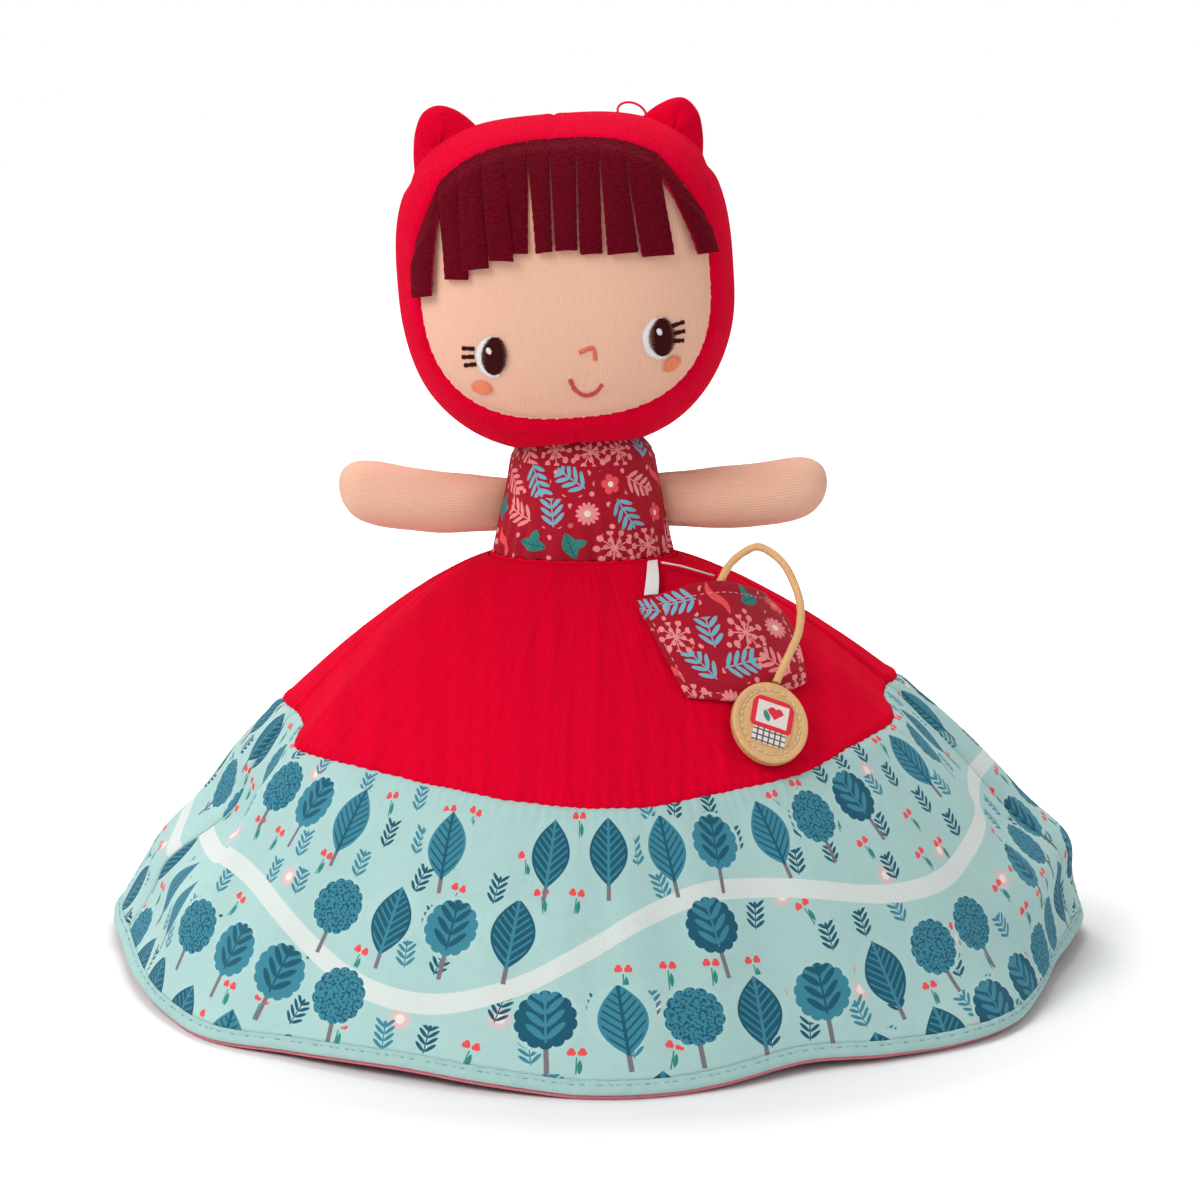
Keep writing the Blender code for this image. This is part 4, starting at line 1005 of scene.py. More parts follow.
def crinkle_pattern() -> Pattern:
    """Crinkles of a cloth along its flat coordinates, held still at its seams."""
    pattern = Pattern("crinkle", {"Depth": 0.3 * MM, "Across": 240.0, "Along": 24.0, "Seed": 0.0})
    loom, given = pattern.loom, pattern.given
    flat = loom.add("GeometryNodeInputNamedAttribute", {"Name": "UVMap"}, 0, data_type="FLOAT_VECTOR")
    slack = loom.add("GeometryNodeInputNamedAttribute", {"Name": "slack"}, 0, data_type="FLOAT")
    u, v, _ = loom.split(flat)
    wave = loom.noise(loom.join(u * given["Across"], v * given["Along"], given["Seed"]), 1.0, 3.0)
    normal = loom.add("GeometryNodeInputNormal", {})
    shift = loom.add("ShaderNodeVectorMath", {0: normal, "Scale": (wave - 0.5) * given["Depth"] * 2 * slack},
                     operation="SCALE")
    pattern.close(loom.add("GeometryNodeSetPosition", {"Geometry": given["Geometry"], "Offset": shift}),
                  False)
    return pattern


def path_object(name: str, points: Sequence[Sequence[float]], closed: bool = False) -> Piece:
    """A line of edges for stitches to follow."""
    mesh = bpy.data.meshes.new(name)
    edges = [(i, i + 1) for i in range(len(points) - 1)]
    if closed:
        edges.append((len(points) - 1, 0))
    mesh.from_pydata([tuple(point) for point in points], edges, [])
    piece = bpy.data.objects.new(name, mesh)
    bpy.context.scene.collection.objects.link(piece)
    return piece


# Forms that the pieces share


def unit(vectors: Array) -> Array:
    """Vectors of length 1."""
    return vectors / np.maximum(np.linalg.norm(vectors, axis=-1, keepdims=True), 1e-12)


def sweep(first: Array, last: Array, share: Array) -> Array:
    """Directions on the great arc between two directions."""
    angle = np.arccos(np.clip((first * last).sum(-1), -1, 1))[..., None]
    safe = np.maximum(np.sin(angle), 1e-9)
    share = np.asarray(share)[..., None]
    mixed = (np.sin((1 - share) * angle) * first + np.sin(share * angle) * last) / safe
    return unit(np.where(angle < 1e-6, first, mixed))


def ease(value: Array | float) -> Array | float:
    """Smooth step of a value held between 0 and 1."""
    held = np.clip(value, 0, 1)
    return held * held * (3 - 2 * held)


def paired(first: Array | float, second: Array | float) -> list[Array]:
    """Two sets of numbers in one common shape."""
    return np.broadcast_arrays(np.asarray(first, float), np.asarray(second, float))


def apart(azimuth: Array, place: float) -> Array:
    """Degrees from a place, the shorter way round."""
    return (azimuth - place + 180) % 360 - 180


def bell(distance: Array, width: float) -> Array:
    """A smooth bump, 1 in its middle."""
    return np.exp(-(distance / width) ** 2)


@dataclass(frozen=True)
class HeadForm:
    """Shape of a stuffed head, in its own frame with its face to -Y."""

    width: float = 110.5 * MM
    depth: float = 82 * MM
    height: float = 110.5 * MM
    crown: float = 3.0
    chin: float = 2.3
    fullness: float = 2.5
    face_width: float = 96.1 * MM
    face_height: float = 90.0 * MM
    face_rise: float = 2.55 * MM
    face_power: float = 2.6
    rise: float = 74.55 * MM

    def outline(self, x: Array, z: Array) -> Array:
        """Share of the way from the middle to the front view's outline."""
        power = np.where(z > 0, self.crown, self.chin)
        return ((2 * np.abs(x) / self.width) ** power + (2 * np.abs(z) / self.height) ** power) ** (1 / power)

    def around(self, ways: Array, lift: Array | float = 0.0) -> Array:
        """Points of the surface in some directions, lifted off it."""
        side = self.outline(ways[..., 0], ways[..., 2]) ** self.fullness
        front = (2 * np.abs(ways[..., 1]) / self.depth) ** self.fullness
        reach = (side + front) ** (-1 / self.fullness)
        return ways * (reach + lift)[..., None]

    def face(self, x: Array, z: Array, lift: Array | float = 0.0) -> Array:
        """Points of the face's side over a front view place, lifted off it."""
        x, z = np.asarray(x, float), np.asarray(z, float)
        share = np.minimum(self.outline(x, z), 1)
        depth = self.depth / 2 * (1 - share ** self.fullness) ** (1 / self.fullness)
        points = np.stack((x, -depth, z), -1)
        return points + unit(points) * np.asarray(lift)[..., None]

    def seam(self, angle: Array) -> tuple[Array, Array]:
        """Front view place of the face's seam, counted from +X towards +Z."""
        flat = (2 * np.abs(np.cos(angle)) / self.face_width) ** self.face_power
        tall = (2 * np.abs(np.sin(angle)) / self.face_height) ** self.face_power
        reach = (flat + tall) ** (-1 / self.face_power)
        return reach * np.cos(angle), self.face_rise + reach * np.sin(angle)


@dataclass(frozen=True)
class TorsoForm:
    """Shape of a torso, in its doll's frame."""

    waist_half: float = 30.5 * MM
    narrowing: float = 0.1972
    half_depth: float = 20.5 * MM
    swell: float = 2.2 * MM
    height: float = 35.5 * MM
    ball: float = 30.9 * MM
    ball_rise: float = 16.2 * MM

    def half_width(self, height: Array | float) -> Array | float:
        """Half the width at a height."""
        return self.waist_half - self.narrowing * height

    def depth(self, height: Array | float) -> Array | float:
        """Half the depth at a height."""
        return self.half_depth + self.swell * np.sin(np.pi * height / self.height)


HEAD = HeadForm()
TORSO = TorsoForm()


@dataclass(frozen=True)
class SkirtForm:
    """Shape of the skirt and its hem."""

    hem_radius: float = 175 * MM
    hem_lift: float = 6 * MM
    rest_share: float = 0.12
    hem_height: float = 6.5 * MM
    fold_depth: float = 7 * MM
    fold_width: float = 11.0
    folds: Table = ((-76, 0.75), (-93, -1.0), (77, 0.8), (93, -1.0), (132, -0.7), (-135, -0.7), (160, 0.7),
                    (-158, 0.7))
    bulges: Table = ((-82.0, 34.0, -6 * MM), (99.0, 24.0, 8 * MM), (-71.0, 7.0, 3.5 * MM),
                     (-84.0, 7.0, -3.5 * MM), (80.0, 6.0, 3.0 * MM), (92.0, 6.0, -3.0 * MM))
    dents: Table = ((-90.0, 17.0, 0.72, 0.07, -7 * MM), (-90.0, 17.0, 0.83, 0.05, 4 * MM),
                    (94.0, 17.0, 0.82, 0.06, 8 * MM), (66.0, 16.0, 0.97, 0.07, 6 * MM))
    front_profile: Table = ((0.25, 0.12), (0.68, 0.58))
    side_profile: Table = ((0.30, 0.10), (0.85, 0.60))
    azimuths: Sequence[float] = (-180, -165, -150, -135, -122, -110, -102, -93, -80, -67, -57, -44, -27,
                                 -12, 6, 18, 33, 45, 60, 75, 85, 94, 104, 112, 124, 137, 152, 166)
    reaches: Sequence[float] = (0.850, 0.830, 0.895, 0.860, 0.950, 1.025, 0.985, 0.925, 0.880, 0.850, 0.830,
                                0.765, 0.735, 0.742, 0.760, 0.750, 0.735, 0.785, 0.850, 0.880, 0.920, 0.985,
                                1.055, 1.045, 0.960, 0.860, 0.900, 0.825)
    lifts: Sequence[float] = (0.10, 0.35, 0.60, 0.10, 0.50, 0.95, 0.95, 0.75, 0.50, 0.20, 0.10, 0.35, 0.60,
                              0.40, 0.00, 0.20, 0.50, 0.25, 0.05, 0.35, 0.70, 0.95, 1.00, 0.95, 0.45, 0.10,
                              0.50, 0.35)
    waist_width: float = 30.5 * MM + 1.4 * MM + 0.3 * MM
    waist_depth: float = 20.5 * MM + 1.4 * MM + 0.3 * MM
    step: float = 0.02
    tier_ends: Table = ((-96, 0.515), (-75, 0.527), (-56, 0.528), (-38, 0.548), (-18, 0.564), (0, 0.566),
                        (18, 0.567), (34, 0.56), (50, 0.536), (64, 0.506), (82, 0.482), (96, 0.455),
                        (112, 0.46), (140, 0.51), (180, 0.57), (220, 0.54), (264, 0.515))

    def table(self, azimuth: Array, values: Sequence[float]) -> Array:
        """Smooth values round the hem."""
        places = np.array([self.azimuths[-1] - 360, *self.azimuths, self.azimuths[0] + 360,
                           self.azimuths[1] + 360])
        table = np.array([values[-1], *values, values[0], values[1]])
        turned = (np.asarray(azimuth, float) + 180) % 360 - 180
        low = np.clip(np.searchsorted(places, turned, side="right") - 1, 1, len(places) - 3)
        before, start, end, after = (places[low + k] for k in (-1, 0, 1, 2))
        v0, v1, v2, v3 = (table[low + k] for k in (-1, 0, 1, 2))
        span = end - start
        t = (turned - start) / span
        rise_in = (v2 - v0) / (end - before) * span
        rise_out = (v3 - v1) / (after - start) * span
        mixed = (2 * t ** 3 - 3 * t ** 2 + 1) * v1 + (t ** 3 - 2 * t ** 2 + t) * rise_in
        return mixed + (3 * t ** 2 - 2 * t ** 3) * v2 + (t ** 3 - t ** 2) * rise_out

    def surface(self, azimuth: Array, part: Array) -> Array:
        """Points of the outside."""
        azimuth, part = paired(azimuth, part)
        turn = np.radians(azimuth)
        side = np.sin(turn) ** 2
        rest = 1 - part
        mix = []
        for axis in (0, 1):
            first, second = (front[axis] + (flank[axis] - front[axis]) * side
                             for front, flank in zip(self.front_profile, self.side_profile))
            mix.append(3 * rest ** 2 * part * first + 3 * rest * part ** 2 * second + part ** 3)
        start = 1 / np.hypot(np.sin(turn) / self.waist_width, np.cos(turn) / self.waist_depth)
        fold = np.zeros_like(part)
        for place, share in self.folds:
            fold = fold + share * bell(apart(azimuth, place), self.fold_width)
        fold = fold * self.fold_depth * 4 * part * part * rest
        for place, width, depth in self.bulges:
            fold = fold + depth * bell(apart(azimuth, place), width) * 6.75 * part * part * rest
        for place, width, height, span, depth in self.dents:
            fold = fold + depth * bell(apart(azimuth, place), width) * bell(part - height, span)
        hem = self.hem_radius * self.table(azimuth, self.reaches)
        reach = start + (hem - start) * mix[0] + fold
        lift = self.hem_lift * np.maximum(self.table(azimuth, self.lifts) - self.rest_share, 0)
        height = WAIST_HEIGHT - (WAIST_HEIGHT - lift) * mix[1]
        return np.stack((reach * np.sin(turn), -reach * np.cos(turn), height), -1)

    def normal(self, azimuth: Array, part: Array) -> Array:
        """Outward directions of the surface."""
        azimuth, part = paired(azimuth, part)
        along = self.surface(azimuth, np.minimum(part + self.step, 1)) - self.surface(
            azimuth, np.maximum(part - self.step, 0))
        return unit(np.cross(along, self.surface(azimuth + 1, part) - self.surface(azimuth - 1, part)))

    def point(self, azimuth: Array, part: Array, depth: Array | float = 0.0) -> Array:
        """Points inside the surface by a depth, or outside it where the depth is negative."""
        return self.surface(azimuth, part) - np.asarray(depth)[..., None] * self.normal(azimuth, part)

    def tier_end(self, azimuth: Array) -> Array:
        """Part at which the plain tier ends and the printed band starts."""
        places, parts = zip(*self.tier_ends)
        return np.interp((np.asarray(azimuth, float) + 96) % 360 - 96, places, parts)

    def hem_start(self, azimuth: Array) -> Array:
        """Part at which the hem starts."""
        last = self.surface(azimuth, 1.0) - self.surface(azimuth, 1 - self.step)
        return 1 - self.step * self.hem_height / np.linalg.norm(last, axis=-1)


SKIRT = SkirtForm()


# Materials of the pieces


def dress() -> dict[str, Material]:
    """Build each finish once, by its name."""
    finishes = (
        PileFinish("red_velour", Dye.RED, 1500.0, 0.00075, 0.45),
        PileFinish("rose_velour", Dye.PINK, 1500.0, 0.00075, 0.4),
        PileFinish("burgundy_nap", Dye.BURGUNDY, 1300.0, 0.00130, 0.5, 1150.0),
        PileFinish("burgundy_cut", Dye.BURGUNDY_CUT, 2600.0, 0.00040, 0.1),
        PileFinish("honey_nap", Dye.HONEY, 1300.0, 0.00130, 0.4, 1150.0),
        PileFinish("honey_cut", Dye.HONEY_CUT, 2600.0, 0.00040, 0.1),
        KnitFinish("face_jersey", Dye.SKIN),
        KnitFinish("arm_jersey", Dye.SKIN, 0.00095, 0.00016),
        GauzeFinish("red_gauze", Dye.RED, 0.0007, 0.00040, 0.9),
        GauzeFinish("tier_gauze", Dye.RED, 0.0007, 0.00040, 0.9, True),
        GauzeFinish("pink_lawn", Dye.PINK),
        GauzeFinish("mint_lawn", Dye.MINT_HEM, 0.00045),
        DitsyFinish("burgundy_ditsy", Dye.PRINT_RED),
        DitsyFinish("rose_ditsy", Dye.PRINT_ROSE),
        MeadowFinish("mint_meadow", Dye.MINT),
        ThreadFinish("cocoa_thread", Dye.COCOA, 0.7, 0.08),
        ThreadFinish("white_thread", Dye.WHITE),
        ThreadFinish("apricot_thread", Dye.APRICOT),
        ThreadFinish("coral_thread_shine", Dye.NOSE),
        ThreadFinish("salmon_thread", Dye.SALMON),
        ThreadFinish("mint_thread", Dye.SKY),
        ThreadFinish("red_thread", Dye.RED),
        ThreadFinish("pink_thread", Dye.BLUSH),
        ThreadFinish("straw_thread", Dye.STRAW, 0.6),
        ThreadFinish("ribbon_satin", Dye.WHITE, 0.35),
        LeatherFinish("tan_hide", Dye.TAN),
        LeatherFinish("tan_hide_edge", Dye.TAN_DARK),
        LeatherFinish("woven_cord", Dye.TAN, 1600.0),
        EmblemFinish("heart_emblem"),
    )
    return {finish.name: finish.make() for finish in finishes}


@dataclass(frozen=True)
class Outfit:
    """What one doll wears, by the names of its finishes."""

    prefix: str
    hood: str
    nap: str
    cut: str
    print: str


class Doll(Enum):
    """The two dolls."""

    UPPER = Outfit("upper", "red_velour", "burgundy_nap", "burgundy_cut", "burgundy_ditsy")
    LOWER = Outfit("lower", "rose_velour", "honey_nap", "honey_cut", "rose_ditsy")


@dataclass(frozen=True)
class Shop:
    """Materials and patterns that the pieces are made with."""

    cloths: dict[str, Material]
    stitches: Pattern
    satin: Pattern
    crinkle: Pattern

    def make(self, name: str, mesh: Mesh, finish: str) -> Piece:
        """A piece of one finish."""
        return mesh_object(name, mesh, self.cloths[finish])


def sew(shop: Shop, name: str, route: Sequence[Sequence[float]], thread: str, pitch: float, length: float,
        width: float, turn: float = 0.0, closed: bool = False, stray: float = 0.0) -> Piece:
    """Stitches along a route.

    Args:
        shop: Materials and patterns.
        name: Name of the piece.
        route: Points of the route.
        thread: Finish of the thread.
        pitch: Distance between stitches.
        length: Length of a stitch.
        width: Half the thread's thickness.
        turn: Turn of each stitch out of the route's direction.
        closed: Whether the route joins up.
        stray: Largest share by which a stitch falls short.

    Returns:
        The stitches as plain mesh.
    """
    piece = path_object(name, route, closed)
    shop.stitches.put_on(piece, {"Pitch": pitch, "Length": length, "Thread": width, "Turn": turn,
                                 "Stray": stray, "Material": shop.cloths[thread]})
    return settle(piece)


# Head


@dataclass
class Head:
    """A doll's head: hood, face, fringe, ears and embroidery."""

    shop: Shop
    doll: Doll
    place: Matrix
    columns: int = 288
    wall: float = 1.0 * MM
    edge_lift: float = 1.1 * MM
    floor: bool = False

    def hood(self) -> Piece:
        """The velour hood with its rolled edge, its middle seam and the dent where the neck presses in."""
        angles = np.linspace(0, math.tau, self.columns, endpoint=False)
        jag = 0.35 * MM * np.sin(angles * 97) * np.sin(angles * 31 + 1)
        x, z = HEAD.seam(angles)
        start = unit(HEAD.face(x, z))
        widest = unit(np.stack((x, np.zeros_like(x), z), -1))
        back = np.broadcast_to(np.array((0.0, 1.0, 0.0)), start.shape)
        near = np.array((-0.9, -0.4, 0.0, 0.5, 1.1, 1.9, 3.0, 4.6, 6.6)) * MM
        arc = 26 * MM
        plan = [(start, widest, (distance + jag * bell(distance, 2 * MM)) / arc,
                 distance) for distance in near]
        plan += [(start, widest, share, share * arc) for share in np.linspace(near[-1] / arc, 1, 14)[1:]]
        plan += [(widest, back, share, arc * (1 + 2 * share)) for share in np.linspace(0, 1, 42)[1:-1]]
        ways = np.array([sweep(first, last, np.full_like(x, share)) for first, last, share,
                         _ in plan] + [back])
        away = np.array([np.full_like(x, distance) for *_, distance in plan] + [np.full_like(x, arc * 3)])
        points = HEAD.around(ways)
        knots, lifts = (-1.0, -0.4, 0.1, 0.8, 2.0, 4.0, 9.0, 20.0), (-1.3, -0.7, -0.1, 0.35, 0.55, 0.5,
                                                                     0.35, 0.3)
        lift = np.interp(away, np.array(knots) * MM, np.array(lifts) * MM)
        lift = lift + 0.35 * MM * ripple(points, 21 * MM, 3.0) * ease(away / (8 * MM))
        lift = lift - 0.45 * MM * bell(points[..., 0], 0.7 * MM) * ease((away - 1 * MM) / (2 * MM))
        lift = lift + 0.15 * MM * bell(np.abs(points[..., 0]) - 2.2 * MM, 1.3 * MM) * ease(away / (3 * MM))
        if self.doll is Doll.UPPER:
            for notch_x, notch_z in ((-47, 36), (48, 35)):
                reach = np.hypot(points[..., 0] - notch_x * MM, points[..., 2] - notch_z * MM)
                lift = lift - 1.6 * MM * bell(reach, 3.2 * MM) * bell(points[..., 1], 12 * MM)
        points = HEAD.around(ways, lift)
        points = self.off_the_neck(points, self.wall)
        mesh = outwards(grid_mesh("hood", points, ring=True), (0, 0, 0))
        piece = self.shop.make(f"{self.doll.value.prefix}_hood_cloth", mesh, self.doll.value.hood)
        thicken(piece, self.wall)
        settle(piece)
        return self.finish(piece)

    def off_the_neck(self, points: Array, wall: float) -> Array:
        """Press points out of the ball that the neck turns in."""
        centre = np.array((0.0, 0.0, -HEAD.rise))
        reach = np.linalg.norm(points - centre, axis=-1, keepdims=True)
        least = TORSO.ball + 0.35 * MM + wall
        return centre + (points - centre) * np.maximum(reach, least) / reach

    def finish(self, piece: Piece) -> Piece:
        """Move a piece from the head's frame to the doll and flatten it where the doll stands on it."""
        piece.data.transform(self.place)
        if self.floor:
            points = points_of(piece)
            points[:, 2] = np.maximum(points[:, 2], 0.02 * MM)
            piece.data.vertices.foreach_set("co", points.ravel())
        return piece

    def face_panel(self) -> Piece:
        """The knit face, sunk a little at its seam and round the embroidery."""
        angles = np.linspace(0, math.tau, 192, endpoint=False)
        x, z = HEAD.seam(angles)
        shares = np.concatenate((np.linspace(0, 0.9, 46), np.linspace(0.9, 1.045, 16)[1:]))[::-1, None]
        x, z = x * shares, HEAD.face_rise + (z - HEAD.face_rise) * shares
        lift = -0.15 * MM - 0.75 * MM * ease((shares - 0.93) / 0.05)
        lift = np.broadcast_to(lift, x.shape)
        for place_x, place_z, width, depth in EMBROIDERY_DENTS:
            lift = lift - depth * MM * bell(np.hypot(x - place_x * MM, z - place_z * MM), width * MM)
        mesh = grid_mesh("face", HEAD.face(x, z, lift), self.around_flat(x, z), ring=True)
        outwards(mesh, (0, 0, 0))
        piece = self.shop.make(f"{self.doll.value.prefix}_face_cloth", mesh, "face_jersey")
        return self.finish(piece)

    def around_flat(self, x: Array, z: Array) -> Array:
        """Flat coordinates of a ring of front view places."""
        flat = np.stack((x, z), -1)
        return np.concatenate((flat, flat[:, :1]), 1)

    def strip(self, number: int) -> Mesh:
        """One cut strip of the fringe, in front view from its seam to its end."""
        left, right, low = FRINGE_ENDS[number]
        tops = ((-47.0, 15.0), *FRINGE_SLITS, (46.5, 17.0))
        (top_left, slit_left), (top_right, slit_right) = tops[number], tops[number + 1]
        rows, columns = 30, 9
        rng = np.random.default_rng(40 + number)
        share = np.linspace(0, 1, rows)
        sides = []
        for top_x, slit, end_x in ((top_left, slit_left, left), (top_right, slit_right, right)):
            reach = min(abs(top_x) / (HEAD.face_width / MM / 2), 0.985)
            high = HEAD.face_rise / MM + HEAD.face_height / MM / 2 * (1 - reach ** HEAD.face_power) ** (
                1 / HEAD.face_power) + 1.2
            slit = min(slit, high - 0.5)
            z = high + (low - high) * share
            down = np.clip((slit - z) / max(slit - low, 0.1), 0, 1)
            wobble = 0.14 * np.sin(z * 1.9 + rng.uniform(0, 6)) * down
            sides.append((top_x + (end_x - top_x) * (0.55 * down + 0.45 * ease(down)) + wobble, z))
        across = np.linspace(0, 1, columns)[None, :]
        x = (sides[0][0][:, None] * (1 - across) + sides[1][0][:, None] * across) * MM
        z = (sides[0][1][:, None] * (1 - across) + sides[1][1][:, None] * across) * MM
        tilt = rng.uniform(-0.7, 0.7)
        z = z + tilt * MM * (across - 0.5) * share[:, None] ** 3
        inside = (2 * np.abs(x) / HEAD.face_width) ** HEAD.face_power + (
            2 * np.abs(z - HEAD.face_rise) / HEAD.face_height) ** HEAD.face_power
        depth_in = np.clip((1 - inside ** (1 / HEAD.face_power)) * 46, -2, 12)
        free = share[:, None]
        lift = 0.35 + 1.75 * ease((depth_in - 0.2) / 4.5)
        if number in (0, len(FRINGE_ENDS) - 1):
            lift = np.maximum(lift, 0.35 + 2.9 * ease(free * 2.2))
        lift = lift + FRINGE_LAYERS[number] * ease((free - 0.2) / 0.5) + rng.uniform(0.0, 0.8) * free ** 3
        lift = lift - 0.8 * (2 * across - 1) ** 2 * ease(free * 3)
        points = HEAD.face(x, z, lift * MM)
        flat = np.stack((x, -z), -1)
        return outwards(grid_mesh("strip", points, flat), (0, 0, 0))

    def fringe(self) -> Piece:
        """All the strips as one piece, with lighter cut edges."""
        outfit = self.doll.value
        parts = []
        for number in range(len(FRINGE_ENDS)):
            piece = self.shop.make(f"strip_{number}", self.strip(number), outfit.nap)
            piece.data.materials.append(self.shop.cloths[outfit.cut])
            thicken(piece, 1.5 * MM, 0.4 / 1.5, 60)
            piece.modifiers["wall"].material_offset_rim = 1
            parts.append(settle(piece))
        return self.finish(join(f"{outfit.prefix}_fringe_fleece", parts))

    def wrap(self, piece: Piece, x: float, z: float, slant: float = 0.0, lift: float = 0.0,
             ) -> Piece:
        """Lay flat embroidery on the face.

        Args:
            piece: Threads in a flat frame whose front is -Y.
            x: Place on the face in millimetres.
            z: Place on the face in millimetres.
            slant: Turn in degrees, counted from +X towards +Z.
            lift: Height over the face in millimetres.

        Returns:
            The piece, on the doll.
        """
        points = points_of(piece)
        turn = math.radians(slant)
        flat_x = points[:, 0] * math.cos(turn) - points[:, 2] * math.sin(turn) + x * MM
        flat_z = points[:, 0] * math.sin(turn) + points[:, 2] * math.cos(turn) + z * MM
        laid = HEAD.face(flat_x, flat_z, lift * MM - points[:, 1])
        piece.data.vertices.foreach_set("co", laid.ravel())
        piece.data.update()
        return self.finish(piece)

    def patch(self, name: str, thread: str, x: float, z: float, half_width: float, half_height: float,
              slant: float = 0.0, lift: float = 0.0, dome: float = 0.35) -> Piece:
        """A satin stitched oval on the face, sizes in millimetres.

        Args:
            name: Name of the piece.
            thread: Finish of the thread.
            x: Place on the face.
            z: Place on the face.
            half_width: Half the oval's width.
            half_height: Half the oval's height.
            slant: Turn in degrees.
            lift: Height over the face.
            dome: Rise of its middle.

        Returns:
            The patch.
        """
        piece = path_object(name, ((0, 0, 0), (MM, 0, 0)))
        self.shop.satin.put_on(piece, {
            "Half Width": half_width * MM, "Half Height": half_height * MM, "Pitch": 0.44 * MM,
            "Thread": 0.26 * MM, "Dome": dome * MM, "Material": self.shop.cloths[thread]})
        return self.wrap(settle(piece), x, z, slant, lift)

    def stroke(self, name: str, thread: str, route: Sequence[tuple[float, float]], width: float,
               pitch: float = 0.42,
               turn: float = math.pi / 2) -> Piece:
        """A line of satin stitches on the face through front view places in millimetres."""
        points = smooth_route([(x * MM, 0, z * MM) for x, z in route], 0.3 * MM)
        piece = sew(self.shop, name, points, thread, pitch * MM, width * MM, 0.25 * MM, turn, stray=0.3)
        return self.wrap(piece, 0, 0, 0, -0.05)

    def crescent(self, plan: "FaceSide") -> Piece:
        """The white of an eye: satin stitches that fan out behind the pupil."""
        turn = np.radians(np.linspace(66, 296, 60) + plan.slant)
        flat_x = plan.eye[0] - 0.9 + 4.3 * np.cos(turn)
        flat_z = plan.eye[1] - 0.6 + 5.8 * np.sin(turn)
        return self.stroke("crescent", "white_thread", list(zip(flat_x, flat_z)), 2.9, 0.4)

    def embroidery(self) -> dict[str, Piece]:
        """Eyes, cheeks, nose and mouth, by the node that each stands for."""
        prefix = self.doll.value.prefix
        made = {}
        for side, plan in FACE_PLAN.items():
            x, z = plan.eye
            parts = [
                self.crescent(plan),
                self.patch("pupil", "cocoa_thread", x, z, 4.55, 6.25, plan.slant, 0.12, 0.45),
                self.patch("gleam", "white_thread", *plan.gleam, 0.95, 1.15, 20.0, 0.62, 0.2),
            ]
            for number, lash in enumerate(plan.lashes):
                parts.append(self.stroke(f"lash_{number}", "cocoa_thread", lash, 1.7, 0.4))
            made[f"{prefix}_eye_{side}"] = join(f"{prefix}_eye_{side}_stitches", parts)
            cheek = self.patch(f"{prefix}_cheek_{side}_stitches", "apricot_thread", *plan.cheek,
                               *plan.cheek_half,
                               plan.cheek_slant, 0.0, 0.3)
            made[f"{prefix}_cheek_{side}"] = cheek
        nose = self.stroke(f"{prefix}_nose_stitches", "coral_thread_shine", NOSE_ROUTE, 1.7)
        made[f"{prefix}_nose"] = nose
        made[f"{prefix}_mouth"] = self.stroke(f"{prefix}_mouth_stitches", "salmon_thread", MOUTH_ROUTE, 1.75)
        return made

    def ear(self, side: str) -> Piece:
        """A plump ear, two halves sewn along their edge."""
        knots = [Vector((x * MM, 0, z * MM)) for x, z in EAR_OUTLINES[side]]
        outline = np.array(closed_route(knots, 96))
        middle = outline.mean(0)
        shares = np.concatenate((np.array((0.0, 0.02, 0.05, 0.09)), np.linspace(0.14, 1, 16)))
        halves = []
        for sign in (-1, 1):
            rows = []
            for share in shares:
                ring = middle + (outline - middle) * (1 - share)
                swell = 5.4 * MM * (1 - (1 - share) ** 2.3) ** 0.62
                bump = 1 + 0.06 * np.sin(np.arange(len(ring)) * math.tau / 96 * 5 + sign)
                ring = ring + np.stack((ring[:, 0] * 0, sign * swell * bump, ring[:, 0] * 0), -1)
                rows.append(ring)
            rows[-1] = np.broadcast_to(rows[-1].mean(0), rows[-1].shape)
            halves.append(rows)
        points = np.array(halves[0][::-1] + halves[1][1:])
        mesh = outwards(grid_mesh("ear", points, ring=True), middle)
        piece = self.shop.make(f"upper_ear_{side}_velour", mesh, self.doll.value.hood)
        return self.finish(piece)

    def loop(self) -> Piece:
        """The thread loop on the crown."""
        points = []
        for turn in np.linspace(-0.25, math.pi + 0.25, 40):
            x = 25.6 * MM - 4.6 * MM * math.cos(turn)
            seat = HEAD.height / 2 * (1 - (2 * abs(x) / HEAD.width) ** HEAD.crown) ** (1 / HEAD.crown)
            points.append(Vector((x, 0.3 * MM * math.sin(3 * turn),
                                  seat + 0.7 * MM + 3.2 * MM * math.sin(turn))))
        piece = self.shop.make("crown_loop_thread", tube_mesh("loop", points, 0.4 * MM, 12), "red_thread")
        return self.finish(piece)


def closed_route(knots: Sequence[Vector], count: int) -> list[Vector]:
    """Evenly shared points on a smooth closed curve through some points."""
    size = len(knots)
    points = []
    for i in range(count):
        at = i * size / count
        near = (knots[(int(at) + j) % size] for j in (-1, 0, 1, 2))
        points.append(on_curve(*near, at - int(at)))
    return points


def join(name: str, parts: Sequence[Piece]) -> Piece:
    """Join pieces into one."""
    builder = bmesh.new()
    cloths = []
    for part in parts:
        shift = []
        for cloth in part.data.materials:
            if cloth not in cloths:
                cloths.append(cloth)
            shift.append(cloths.index(cloth))
        indices = [shift[face.material_index] for face in part.data.polygons]
        part.data.polygons.foreach_set("material_index", indices)
        builder.from_mesh(part.data)
    mesh = bpy.data.meshes.new(name)
    builder.to_mesh(mesh)
    builder.free()
    for cloth in cloths:
        mesh.materials.append(cloth)
    for part in parts:
        bpy.data.objects.remove(part)
    piece = bpy.data.objects.new(name, mesh)
    bpy.context.scene.collection.objects.link(piece)
    return piece


